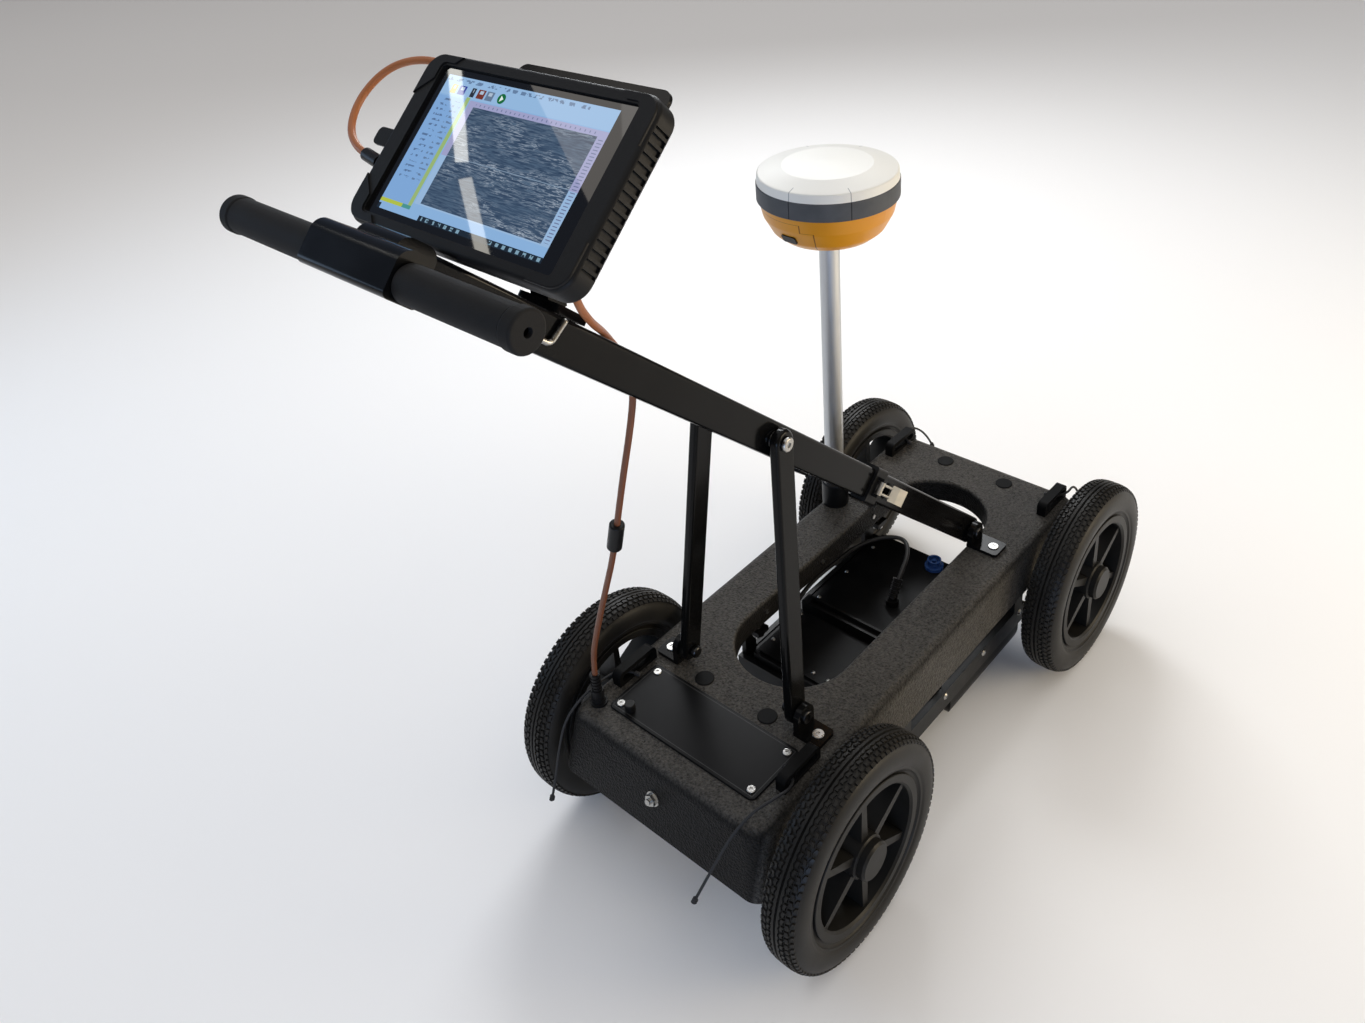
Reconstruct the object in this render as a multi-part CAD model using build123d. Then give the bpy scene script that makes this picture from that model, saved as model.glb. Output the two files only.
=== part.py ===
from build123d import *
from math import atan2, cos, radians, sin, tan
import os

# A four-wheeled ground penetrating radar cart, in millimetres.
# +X is the operator's right, +Y is forward, +Z is up, and Z = 0 is the ground.
# The origin lies on the ground, under the middle of the whole length.

# Wheels and axles
WHEEL_RADIUS = 152.0
TYRE_WIDTH = 55.0
RIM_SEAT_RADIUS = 101.5
RIM_WALL = 8.5
RIM_WIDTH = 41.0
RIM_FLANGE_HEIGHT = 5.0
RIM_FLANGE_WIDTH = 3.5
HUB_RADIUS = 29.0
HUB_LENGTH = 46.0
HUB_CAP_RADIUS = 26.0
HUB_CAP_REACH = 34.0
SPOKE_COUNT = 6
SPOKE_ROOT = 13.0
SPOKE_TIP = 9.0
SPOKE_DEPTH = 36.0
WHEELBASE = 610.0
TRACK = 410.0
AXLE_RADIUS = 8.0
AXLE_HOUSING_RADIUS = 20.0
RUNNING_GAP = 0.05
SIDE_GAP = 1.0

# Chassis shell
DECK_HEIGHT = 243.5
SHELL_WIDTH = 316.0
SHELL_REAR_OVERHANG = 114.0
SHELL_FRONT_OVERHANG = 62.0
SHELL_FLARE = 0.14
SHELL_REAR_FLARE = 0.21
SHELL_WALL = 6.0
SHELL_BOTTOM = 150.0
SHELL_SIDE_BOTTOM = 178.0
SHELL_CORNER = 24.0
DECK_EDGE_FILLET = 16.0
SIDE_CUT_MARGIN = 75.0
AXLE_CHEEK_LENGTH = 68.0
AXLE_CHEEK_BOTTOM = 118.0
SLOT_WIDTH = 164.0
SLOT_LENGTH = 514.0
SLOT_REAR_FROM_AXLE = 78.0
SLOT_LIP_DEPTH = 38.0
SLOT_EDGE_FILLET = 5.0

# Deck furniture
PANEL_WIDTH = 242.0
PANEL_LENGTH = 93.0
PANEL_THICKNESS = 2.5
PANEL_CORNER = 8.0
PANEL_BEHIND_AXLE = 32.5
PANEL_SCREW_INSET = 12.0
SCREW_HEAD_RADIUS = 5.5
SCREW_HEAD_HEIGHT = 1.6
SCREW_RADIUS = 2.5
PLUG_RADIUS = 13.0
PLUG_RISE = 1.5
PLUG_SPACING = 106.0
PLUG_REAR_FROM_AXLE = 33.5
PLUG_FRONT_FROM_AXLE = 28.0
GUIDE_FROM_PANEL = 9.0
GUIDE_LENGTH = 70.0
GUIDE_WIDTH = 14.0
GUIDE_HEIGHT = 22.0
GUIDE_BAR = 6.0
GUIDE_REAR_FROM_AXLE = -12.0
GUIDE_FRONT_FROM_AXLE = 22.0
BUTTON_RADIUS = 7.0
BUTTON_HEIGHT = 11.0
BUTTON_FROM_PANEL_EDGE = 29.0
SOCKET_RADIUS = 9.0
SOCKET_HEIGHT = 10.0
SOCKET_FLANGE = 2.5
SOCKET_FROM_PANEL = 3.5
SOCKET_BEHIND_AXLE = 81.0
LIP_SCREW_FROM_AXLE = 200.0
LIP_SCREW_PITCH = 135.0
REAR_STUD_X = -4.0
REAR_STUD_HEIGHT = 199.0
REAR_STUD_RADIUS = 8.0

# Hinge brackets on the deck
PIVOT_RADIUS = 5.0
EAR_THICKNESS = 8.0
EAR_RADIUS = 16.0
BRACKET_PLATE = 5.0
FRONT_BRACKET_LENGTH = 48.0
REAR_BRACKET_LENGTH = 39.0
BRACKET_WIDTH = 34.0
BRACKET_SCREW_INSET = 13.0
FRONT_EAR_X = 83.5
FRONT_PIVOT_BEFORE_AXLE = 124.0
FRONT_PIVOT_RISE = 18.0
REAR_EAR_X = 97.5
REAR_PIVOT_FROM_AXLE = 46.0
REAR_PIVOT_RISE = 24.0

# Handle frame
BEAM_WIDTH = 16.0
BEAM_DEPTH = 40.0
BEAM_CORNER = 4.0
BEAM_TOP_X = 10.0
BEAM_FOOT_X = 71.0
HANDLEBAR_BEHIND_AXLE = 335.5
HANDLEBAR_HEIGHT = 1013.0
BEAM_OVER_HANDLEBAR = 14.0
BEAM_START = 25.0
LOWER_ARM_LENGTH = 294.0
JOINT_GAP = 1.2
ARM_GROOVE = 4.0
ARM_GROOVE_DEPTH = 1.5
ARM_GROOVE_PITCH = 10.0
STRUT_WIDTH = 32.0
STRUT_THICKNESS = 13.0
STRUT_EDGE = 4.5
STRUT_TOP_FROM_AXLE = 81.0
STRUT_GAP = 4.0
HANDLEBAR_RADIUS = 12.5
HANDLEBAR_LENGTH = 376.0
GRIP_RADIUS = 16.0
GRIP_LENGTH = 121.0
GRIP_CAP_RADIUS = 17.0
GRIP_CAP_LENGTH = 13.5
HANDLEBAR_BORE = 10.0
YOKE_WIDTH = 116.0
YOKE_REAR = 17.5
YOKE_HUB_FRONT = 18.0
YOKE_FRONT = 42.0
YOKE_BELOW = 17.0
YOKE_ABOVE = 24.0
YOKE_TOP_FILLET = 13.0
YOKE_FILLET = 6.0
YOKE_SOCKET_WIDTH = 54.0
YOKE_SOCKET_ABOVE = 34.0
YOKE_SOCKET_BELOW = 14.0
BAR_END_RADIUS = 4.0
HOOK_FROM_TOP = 199.0
HOOK_RADIUS = 3.0

# Draw latches between the beams and the lower arms
LATCH_BLOCK_LENGTH = 26.0
LATCH_BLOCK_WALL = 4.0
LATCH_PIN_RADIUS = 2.0
LATCH_LUG_SPACING = 22.0
LATCH_LUG_THICKNESS = 4.0
LATCH_PIN_OUT = 5.5
LATCH_KNUCKLE_RADIUS = 4.0
LATCH_ROD_LENGTH = 26.0
LATCH_PADDLE_LENGTH = 32.0
LATCH_PADDLE_WIDTH = 22.0
LATCH_PADDLE_THICKNESS = 3.0

# Tablet on its tilting mount
GLASS_WIDTH = 252.0
GLASS_LENGTH = 156.0
GLASS_THICKNESS = 2.0
CASE_WIDTH = 274.0
CASE_LENGTH = 161.0
CASE_THICKNESS = 20.0
CASE_CORNER = 12.0
BUMPER_WIDTH = 290.0
BUMPER_LENGTH = 173.0
BUMPER_THICKNESS = 26.0
BUMPER_CORNER = 20.0
BUMPER_LIP = 3.0
BUMPER_RIBS = 15
BUMPER_RIB_PITCH = 8.4
BUMPER_RIB_WIDTH = 3.0
BUMPER_RIB_HEIGHT = 2.5
BUMPER_RIB_LENGTH = 18.0
BUMPER_PAD_RISE = 1.5
BUMPER_PAD_REACH = 33.0
PLUG_PLACE = -26.0
PLUG_DEPTH = -12.0
PORT_FLAP_LENGTH = 38.0
TABLET_X = 0.0
TABLET_BEHIND_AXLE = 197.5
TABLET_HEIGHT = 1050.5
TABLET_SLOPE = 41.7
CRADLE_THICKNESS = 4.0
CRADLE_WIDTH = 184.0
CRADLE_X = 31.0
CRADLE_TOP = 103.0
CRADLE_BOTTOM = -70.0
TILT_BACK = 50.0
TILT_PIN_RADIUS = 4.0
TILT_KNUCKLE_RADIUS = 12.0
MOUNT_WIDTH = 24.0
MOUNT_GAP = 0.4
MOUNT_LUG = 8.0
SADDLE_LENGTH = 44.0
SADDLE_REAR = -42.0
SADDLE_WIDTH = 56.0
SADDLE_THICKNESS = 8.0
SADDLE_SEAT = 0.7

# Satellite receiver on its pole
POLE_X = -138.0
POLE_FROM_AXLE = 446.0
POLE_RADIUS = 14.5
POLE_TOP = 712.0
CLAMP_RADIUS = 20.5
CLAMP_HEIGHT = 42.0
RECEIVER_RADIUS = 98.5
RECEIVER_FOOT_RADIUS = 66.0
RECEIVER_BODY_HEIGHT = 54.0
RECEIVER_BAND_HEIGHT = 26.0
RECEIVER_CAP_RIM = 12.0
RECEIVER_CAP_HEIGHT = 24.0

# Antenna sled under the slot
BATTERY_HEIGHT = 41.0
SLED_SIDE_GAP = 10.0
SLED_RAIL_THICKNESS = 8.0
SLED_RAIL_TOP = 104.0
SLED_RAIL_DEPTH = 32.0
SLED_BOX_TOP = 118.0
SLED_TOP_INSET = 25.0
SLED_BOX_INSET = 5.0
SLED_REAR_FROM_AXLE = 196.0
SLED_FRONT_FROM_AXLE = 556.0
ANTENNA_BOTTOM = 10.0
ANTENNA_REAR_FROM_AXLE = 345.0
ANTENNA_ROUND = 42.0
MODULE_BOTTOM = 35.0
MODULE_FRONT_FROM_AXLE = 322.0
MODULE_ROUND = 34.0
LID_THICKNESS = 4.0
ANTENNA_PLUG_X = -2.0
ANTENNA_PLUG_FROM_AXLE = 524.0
HANGER_RADIUS = 5.0
HANGER_X = 118.0
HANGER_INSET = 22.0
HANGER_LUG_HEIGHT = 150.0
CROSS_CHANNEL_WIDTH = 19.0
CROSS_CHANNEL_TOP = 134.0
LEAD_RADIUS = 3.5
LEAD_BOOT_LENGTH = 30.0

# Cords
CABLE_RADIUS = 3.75
TIE_RADIUS = 1.75
FERRITE_RADIUS = 9.0
FERRITE_LENGTH = 40.0
BOOT_LENGTH = 44.0

# Places worked out from the sizes above
HANDLE_RUN = HANDLEBAR_BEHIND_AXLE + WHEELBASE - FRONT_PIVOT_BEFORE_AXLE
HANDLE_DROP = HANDLEBAR_HEIGHT + BEAM_OVER_HANDLEBAR - DECK_HEIGHT - FRONT_PIVOT_RISE
HANDLE_SLOPE = atan2(HANDLE_DROP, HANDLE_RUN)
YOKE_CORNER_BACK = (YOKE_REAR - YOKE_FILLET) * cos(HANDLE_SLOPE)
YOKE_CORNER_LOW = (YOKE_BELOW - YOKE_FILLET) * sin(HANDLE_SLOPE)
REARMOST = HANDLEBAR_BEHIND_AXLE + YOKE_CORNER_BACK + YOKE_CORNER_LOW + YOKE_FILLET
REAR_AXLE_Y = (REARMOST - WHEELBASE - WHEEL_RADIUS) / 2
FRONT_AXLE_Y = REAR_AXLE_Y + WHEELBASE
SHELL_REAR_Y = REAR_AXLE_Y - SHELL_REAR_OVERHANG
SHELL_FRONT_Y = FRONT_AXLE_Y + SHELL_FRONT_OVERHANG
SHELL_LENGTH = SHELL_FRONT_Y - SHELL_REAR_Y
SHELL_MID_Y = (SHELL_FRONT_Y + SHELL_REAR_Y) / 2
SLOT_MID_Y = REAR_AXLE_Y + SLOT_REAR_FROM_AXLE + SLOT_LENGTH / 2
UNDER_DECK = DECK_HEIGHT - SHELL_WALL
BUTTON_X = BUTTON_FROM_PANEL_EDGE - PANEL_WIDTH / 2
GUIDE_X = PANEL_WIDTH / 2 + GUIDE_FROM_PANEL + GUIDE_WIDTH / 2
SOCKET_X = -PANEL_WIDTH / 2 - SOCKET_FROM_PANEL - SOCKET_RADIUS - SOCKET_FLANGE
LID_TOP = SLED_BOX_TOP + LID_THICKNESS
SLED_HALF_WIDTH = SHELL_WIDTH / 2 - SHELL_WALL - SLED_SIDE_GAP
SLED_TOP_HALF = SLED_HALF_WIDTH - SLED_TOP_INSET
print("rear axle Y", REAR_AXLE_Y)

HANDLEBAR_CENTRE = Vector(0, REAR_AXLE_Y - HANDLEBAR_BEHIND_AXLE, HANDLEBAR_HEIGHT)
BEAM_TOP = HANDLEBAR_CENTRE + Vector(BEAM_TOP_X, 0, BEAM_OVER_HANDLEBAR)
FRONT_PIVOT_Y = FRONT_AXLE_Y - FRONT_PIVOT_BEFORE_AXLE
FRONT_PIVOT = Vector(BEAM_FOOT_X, FRONT_PIVOT_Y, DECK_HEIGHT + FRONT_PIVOT_RISE)
REAR_PIVOT_Y = REAR_AXLE_Y + REAR_PIVOT_FROM_AXLE
REAR_PIVOT_Z = DECK_HEIGHT + REAR_PIVOT_RISE
BEAM_WAY = (FRONT_PIVOT - BEAM_TOP).normalized()
BEAM_SIDE = Vector(BEAM_WAY.Y, -BEAM_WAY.X, 0).normalized()
BEAM_JOINT = FRONT_PIVOT - BEAM_WAY * LOWER_ARM_LENGTH
SLOPE_WAY = Vector(0, BEAM_WAY.Y, BEAM_WAY.Z).normalized()
STRUT_TOP_Y = REAR_AXLE_Y + STRUT_TOP_FROM_AXLE
STRUT_TOP_SHARE = (STRUT_TOP_Y - BEAM_TOP.Y) / (FRONT_PIVOT.Y - BEAM_TOP.Y)
STRUT_TOP_ON_BEAM = BEAM_TOP + (FRONT_PIVOT - BEAM_TOP) * STRUT_TOP_SHARE
STRUT_FOOT = Vector(REAR_EAR_X - 3.0 - STRUT_THICKNESS / 2, REAR_PIVOT_Y, REAR_PIVOT_Z)
STRUT_HEAD = STRUT_TOP_ON_BEAM + Vector((BEAM_WIDTH + STRUT_THICKNESS) / 2 + STRUT_GAP, 0, 0)
STRUT_WAY = (STRUT_HEAD - STRUT_FOOT).normalized()
STRUT_SIDE = (Vector(1, 0, 0) - STRUT_WAY * STRUT_WAY.X).normalized()
TABLET = Plane(
    origin=(TABLET_X, REAR_AXLE_Y - TABLET_BEHIND_AXLE, TABLET_HEIGHT),
    x_dir=(1, 0, 0),
    z_dir=(0, -sin(radians(TABLET_SLOPE)), cos(radians(TABLET_SLOPE))),
)
TILT_AXIS = TABLET.from_local_coords(Vector(0, 0, -TILT_BACK))
JOINT_FRAME = Plane(origin=BEAM_JOINT, x_dir=BEAM_SIDE, z_dir=BEAM_WAY).location
BUMPER_BACK = BUMPER_LIP - BUMPER_THICKNESS


def at(x, from_axle, z):
    """Point given by its distance forward of the rear axle."""
    return Vector(x, REAR_AXLE_Y + from_axle, z)


def block(x0, x1, y0, y1, z0, z1):
    """Box between two corners."""
    return Pos((x0 + x1) / 2, (y0 + y1) / 2, (z0 + z1) / 2) * Box(x1 - x0, y1 - y0, z1 - z0)


def rod(radius, start, end):
    """Round bar between two points."""
    way = Vector(end) - Vector(start)
    return extrude(Plane(origin=start, z_dir=way) * Circle(radius), way.length)


def cord(points, radius):
    """Round cord of straight runs joined by tangent arcs."""
    corners = [Vector(point) for point in points]
    bends = []
    for before, corner, after in zip(corners, corners[1:], corners[2:]):
        run_in = corner - before
        run_out = after - corner
        half_turn = radians(run_in.get_angle(run_out)) / 2
        bends.append(0.45 * min(run_in.length, run_out.length) / tan(half_turn))
    path = FilletPolyline(*corners, radius=bends)
    tube = sweep(Plane(origin=path @ 0, z_dir=path % 0) * Circle(radius), path=path)
    print("cord", round(path.length, 1), "long, bends", [round(bend) for bend in bends])
    print("cord volume", round(tube.volume), "of", round(3.14159 * radius**2 * path.length))
    return tube


def both_sides(part):
    """The part and its mirror image across the middle plane."""
    return [part, mirror(part, about=Plane.YZ)]


def save(name, shapes):
    """Write the solids of one sub-part."""
    solids = []
    for shape in shapes:
        solids += shape.solids()
    export_step(Compound(solids) if len(solids) > 1 else solids[0], f"parts/{name}.step")


def tyre():
    half = TYRE_WIDTH / 2
    bead = RIM_WIDTH / 2 - 0.1
    right = [
        (bead, RIM_SEAT_RADIUS + RUNNING_GAP),
        (bead, RIM_SEAT_RADIUS + 8.5),
        (half, RIM_SEAT_RADIUS + 22.5),
        (half - 1, WHEEL_RADIUS - 13),
        (half - 9, WHEEL_RADIUS - 4),
        (half - 18, WHEEL_RADIUS),
    ]
    left = [(-x, y) for x, y in reversed(right)]
    profile = make_face(Polyline(*right, *left, close=True))
    corners = profile.vertices().filter_by_position(Axis.Y, RIM_SEAT_RADIUS + 1, WHEEL_RADIUS + 1)
    profile = fillet(corners, 5)
    body = revolve(profile, Axis.X)
    for x in (-6.5, 6.5):
        body -= revolve(Pos(x, WHEEL_RADIUS) * Rectangle(2.4, 5), Axis.X)
    return body


def rim():
    width = RIM_WIDTH + 2 * RIM_FLANGE_WIDTH
    profile = Pos(0, RIM_SEAT_RADIUS - RIM_WALL / 2) * Rectangle(width, RIM_WALL)
    for side in (-1, 1):
        flange_x = side * (RIM_WIDTH + RIM_FLANGE_WIDTH) / 2
        flange = Rectangle(RIM_FLANGE_WIDTH, RIM_FLANGE_HEIGHT + 2)
        profile += Pos(flange_x, RIM_SEAT_RADIUS + RIM_FLANGE_HEIGHT / 2 - 1) * flange
    profile = fillet(profile.vertices().group_by(Axis.Y)[-1], 1.2)
    profile = chamfer(profile.vertices().group_by(Axis.Y)[0], 3.0)
    body = revolve(profile, Axis.X)
    hub = rod(HUB_RADIUS, (-HUB_LENGTH / 2, 0, 0), (HUB_LENGTH / 2, 0, 0))
    body += chamfer(hub.edges(), 2)
    inner = HUB_RADIUS - 3
    outer = RIM_SEAT_RADIUS - RIM_WALL + 3
    half_root = SPOKE_ROOT / 2
    half_tip = SPOKE_TIP / 2
    corners = [(-half_root, inner), (half_root, inner), (half_tip, outer), (-half_tip, outer)]
    spoke = extrude(Plane.YZ * make_face(Polyline(*corners, close=True)), SPOKE_DEPTH / 2, both=True)
    for index in range(SPOKE_COUNT):
        body += Rot(360 / SPOKE_COUNT * index, 0, 0) * spoke
    body -= rod(AXLE_RADIUS + RUNNING_GAP, (-HUB_LENGTH, 0, 0), (HUB_LENGTH, 0, 0))
    return body


def hub_cap():
    cap = rod(HUB_CAP_RADIUS, (HUB_LENGTH / 2, 0, 0), (HUB_CAP_REACH, 0, 0))
    cap = chamfer(cap.edges().group_by(Axis.X)[-1], 3)
    return cap - rod(HUB_CAP_RADIUS - 6, (HUB_LENGTH / 2 - 1, 0, 0), (HUB_CAP_REACH - 4.5, 0, 0))


def axle(axle_y):
    reach = TRACK / 2 + HUB_LENGTH / 2 + SIDE_GAP
    bar = rod(AXLE_RADIUS, (-reach, axle_y, WHEEL_RADIUS), (reach, axle_y, WHEEL_RADIUS))
    for side in (-1, 1):
        bar += rod(12, (side * reach, axle_y, WHEEL_RADIUS), (side * (reach + 3.5), axle_y, WHEEL_RADIUS))
    return bar


def tub(inset, top):
    """The flared tub's outside, or with an inset the room in it, down to the foot of the axle cheeks."""
    low = AXLE_CHEEK_BOTTOM
    drop = DECK_HEIGHT - low
    half = SHELL_WIDTH / 2 - inset
    low_half = half + SHELL_FLARE * drop
    rear = SHELL_REAR_Y + inset
    front = SHELL_FRONT_Y - inset
    low_rear = rear - SHELL_REAR_FLARE * drop
    low_front = front + SHELL_FLARE * drop
    side_view = make_face(
        Polyline((rear, top), (front, top), (low_front, low), (low_rear, low), close=True)
    )
    end_view = make_face(
        Polyline((-half, top), (half, top), (low_half, low), (-low_half, low), close=True)
    )
    body = extrude(Plane.YZ * side_view, SHELL_WIDTH, both=True)
    body &= extrude(Plane.XZ * end_view, 2 * SHELL_LENGTH, both=True)
    corners = [edge for edge in body.edges() if abs((edge @ 1 - edge @ 0).Z) > drop / 2]
    body = fillet(corners, SHELL_CORNER - inset)
    return fillet(body.edges().group_by(Axis.Z)[-1], DECK_EDGE_FILLET - inset)


def shell_outside():
    return tub(0, DECK_HEIGHT)


def panel_screw_places():
    reach_x = PANEL_WIDTH / 2 - PANEL_SCREW_INSET
    reach_y = PANEL_LENGTH / 2 - PANEL_SCREW_INSET
    middle_y = REAR_AXLE_Y - PANEL_BEHIND_AXLE
    return [(x, middle_y + y) for x in (-reach_x, reach_x) for y in (-reach_y, reach_y)]


def plug_places():
    ends = (REAR_AXLE_Y + PLUG_REAR_FROM_AXLE, FRONT_AXLE_Y + PLUG_FRONT_FROM_AXLE)
    return [(x, y) for x in (-PLUG_SPACING / 2, PLUG_SPACING / 2) for y in ends]


def bracket_screw_places():
    front_x = FRONT_EAR_X + FRONT_BRACKET_LENGTH - BRACKET_SCREW_INSET
    rear_x = REAR_EAR_X + REAR_BRACKET_LENGTH - BRACKET_SCREW_INSET
    return [(side * x, y) for side in (-1, 1) for x, y in ((front_x, FRONT_PIVOT.Y), (rear_x, REAR_PIVOT_Y))]


def button_place():
    return BUTTON_X, REAR_AXLE_Y - PANEL_BEHIND_AXLE - PANEL_LENGTH / 2 + PANEL_SCREW_INSET


def chassis_shell():
    body = shell_outside() - tub(SHELL_WALL, UNDER_DECK)
    lip = SlotOverall(SLOT_LENGTH + 2 * SHELL_WALL, SLOT_WIDTH + 2 * SHELL_WALL, rotation=90)
    body += Pos(0, SLOT_MID_Y, DECK_HEIGHT - SLOT_LIP_DEPTH) * extrude(lip, SLOT_LIP_DEPTH - 1)
    slot = SlotOverall(SLOT_LENGTH, SLOT_WIDTH, rotation=90)
    body -= Pos(0, SLOT_MID_Y, SHELL_BOTTOM) * extrude(slot, DECK_HEIGHT)
    deck = body.faces().filter_by(Axis.Z).sort_by(Axis.Z)[-1]
    body = fillet(deck.inner_wires()[0].edges(), SLOT_EDGE_FILLET)
    cut_rear = REAR_AXLE_Y + SIDE_CUT_MARGIN
    cut_front = FRONT_AXLE_Y - SIDE_CUT_MARGIN
    body -= block(-SHELL_WIDTH, SHELL_WIDTH, cut_rear, cut_front, 0, SHELL_SIDE_BOTTOM)
    cheek = AXLE_CHEEK_LENGTH / 2
    for start, end in (
        (SHELL_REAR_Y - SHELL_WIDTH, REAR_AXLE_Y - cheek),
        (REAR_AXLE_Y + cheek, FRONT_AXLE_Y - cheek),
        (FRONT_AXLE_Y + cheek, SHELL_FRONT_Y + SHELL_WIDTH),
    ):
        body -= block(-SHELL_WIDTH, SHELL_WIDTH, start, end, 0, SHELL_BOTTOM)
    boss_end = TRACK / 2 - HUB_LENGTH / 2 - SIDE_GAP
    for axle_y in (REAR_AXLE_Y, FRONT_AXLE_Y):
        for side in (-1, 1):
            start = (side * (SHELL_WIDTH / 2 - 40), axle_y, WHEEL_RADIUS)
            body += rod(AXLE_HOUSING_RADIUS, start, (side * boss_end, axle_y, WHEEL_RADIUS))
        through = AXLE_RADIUS + RUNNING_GAP
        body -= rod(through, (-TRACK, axle_y, WHEEL_RADIUS), (TRACK, axle_y, WHEEL_RADIUS))
    for x, y in panel_screw_places() + bracket_screw_places():
        body -= rod(SCREW_RADIUS + RUNNING_GAP, (x, y, UNDER_DECK - 1), (x, y, DECK_HEIGHT + 1))
    for x, y in plug_places():
        body -= rod(PLUG_RADIUS - 4 + RUNNING_GAP, (x, y, UNDER_DECK - 1), (x, y, DECK_HEIGHT + 1))
    x, y = button_place()
    body -= rod(BUTTON_RADIUS + RUNNING_GAP, (x, y, UNDER_DECK - 1), (x, y, DECK_HEIGHT + 1))
    return body


def deck_plug(x, y):
    cap = rod(PLUG_RADIUS, (x, y, DECK_HEIGHT), (x, y, DECK_HEIGHT + PLUG_RISE))
    cap = chamfer(cap.edges().group_by(Axis.Z)[-1], 0.8)
    return cap + rod(PLUG_RADIUS - 4, (x, y, UNDER_DECK), (x, y, DECK_HEIGHT + 0.5))


def rear_panel():
    plate = extrude(RectangleRounded(PANEL_WIDTH, PANEL_LENGTH, PANEL_CORNER), PANEL_THICKNESS)
    plate = Pos(0, REAR_AXLE_Y - PANEL_BEHIND_AXLE, DECK_HEIGHT) * chamfer(
        plate.edges().group_by(Axis.Z)[-1], 0.8
    )
    for x, y in panel_screw_places():
        plate -= rod(SCREW_RADIUS + RUNNING_GAP, (x, y, DECK_HEIGHT - 1), (x, y, DECK_HEIGHT + 9))
    x, y = button_place()
    return plate - rod(BUTTON_RADIUS + RUNNING_GAP, (x, y, DECK_HEIGHT - 1), (x, y, DECK_HEIGHT + 9))


def screw(x, y, seat, head_radius):
    head = rod(head_radius, (x, y, seat), (x, y, seat + SCREW_HEAD_HEIGHT))
    head = fillet(head.edges().group_by(Axis.Z)[-1], 0.7)
    head += rod(SCREW_RADIUS, (x, y, UNDER_DECK - 4), (x, y, seat + 0.5))
    socket = extrude(RegularPolygon(head_radius * 0.42, 6), 2)
    return head - Pos(x, y, seat + SCREW_HEAD_HEIGHT - 0.9) * socket


def lip_screw(side, from_axle):
    wall = side * SLOT_WIDTH / 2
    head = rod(3.6, at(wall, from_axle, 222), at(wall - side * 1.6, from_axle, 222))
    return head


def rear_stud():
    face_y = SHELL_REAR_Y - SHELL_REAR_FLARE * (DECK_HEIGHT - REAR_STUD_HEIGHT)
    face = Vector(REAR_STUD_X, face_y, REAR_STUD_HEIGHT)
    back = Vector(0, -1, SHELL_REAR_FLARE).normalized()
    washer = rod(REAR_STUD_RADIUS + 2, face, face + back * 1.5)
    nut = extrude(Plane(origin=face + back, z_dir=back) * RegularPolygon(REAR_STUD_RADIUS, 6), 6)
    return washer + nut + rod(4, face + back * 6, face + back * 11)


def cord_guide(x, from_axle):
    side_view = Plane(origin=at(x, from_axle, DECK_HEIGHT), x_dir=(0, 1, 0), z_dir=(1, 0, 0))
    outline = Pos(0, GUIDE_HEIGHT / 2 - 6) * RectangleRounded(GUIDE_LENGTH, GUIDE_HEIGHT + 12, 9)
    hole = SlotOverall(GUIDE_LENGTH - 2 * GUIDE_BAR, GUIDE_HEIGHT - 2 * GUIDE_BAR)
    hole = Pos(0, GUIDE_HEIGHT / 2 - 0.5) * hole
    body = extrude(side_view * (outline - hole), GUIDE_WIDTH / 2, both=True)
    return body - shell_outside()


def hinge_bracket(ear_x, length, y, pivot_z):
    half = BRACKET_WIDTH / 2
    end_x = ear_x + length
    plate = block(ear_x, end_x, y - half, y + half, DECK_HEIGHT, DECK_HEIGHT + BRACKET_PLATE)
    plate = fillet(plate.edges().filter_by(Axis.Z).group_by(Axis.X)[-1], 5)
    ear_end = ear_x + EAR_THICKNESS
    ear = block(ear_x, ear_end, y - EAR_RADIUS, y + EAR_RADIUS, DECK_HEIGHT, pivot_z)
    ear += rod(EAR_RADIUS, (ear_x, y, pivot_z), (ear_end, y, pivot_z))
    body = plate + ear
    body -= block(ear_x - 1, end_x + 1, y - half - 1, y + half + 1, DECK_HEIGHT - 20, DECK_HEIGHT)
    body -= rod(PIVOT_RADIUS + RUNNING_GAP, (0, y, pivot_z), (200, y, pivot_z))
    screw_x = end_x - BRACKET_SCREW_INSET
    return body - rod(SCREW_RADIUS + RUNNING_GAP, (screw_x, y, 200), (screw_x, y, 300))


def pivot_bolt(inner_x, outer_x, pivot_y, pivot_z):
    shank = rod(PIVOT_RADIUS, (inner_x - 6, pivot_y, pivot_z), (outer_x, pivot_y, pivot_z))
    head = rod(9, (outer_x, pivot_y, pivot_z), (outer_x + 4, pivot_y, pivot_z))
    head = fillet(head.edges().group_by(Axis.X)[-1], 2)
    recess = Plane(origin=(outer_x + 2, pivot_y, pivot_z), z_dir=(1, 0, 0)) * RegularPolygon(3.6, 6)
    head -= extrude(recess, 3)
    nut = rod(8.5, (inner_x - 7, pivot_y, pivot_z), (inner_x - 0.6, pivot_y, pivot_z))
    nut = fillet(nut.edges().group_by(Axis.X)[0], 3.5)
    return shank + head + nut


def data_socket():
    place = at(SOCKET_X, -SOCKET_BEHIND_AXLE, DECK_HEIGHT - 8)
    body = rod(SOCKET_RADIUS, place, place + Vector(0, 0, 8 + SOCKET_HEIGHT))
    body += rod(SOCKET_RADIUS + SOCKET_FLANGE, place, place + Vector(0, 0, 8 + 3))
    return body - shell_outside()


def power_button():
    x, y = button_place()
    top = DECK_HEIGHT + PANEL_THICKNESS + BUTTON_HEIGHT
    body = rod(BUTTON_RADIUS, (x, y, UNDER_DECK - 6), (x, y, top))
    return fillet(body.edges().group_by(Axis.Z)[-1], 1.5)


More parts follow.
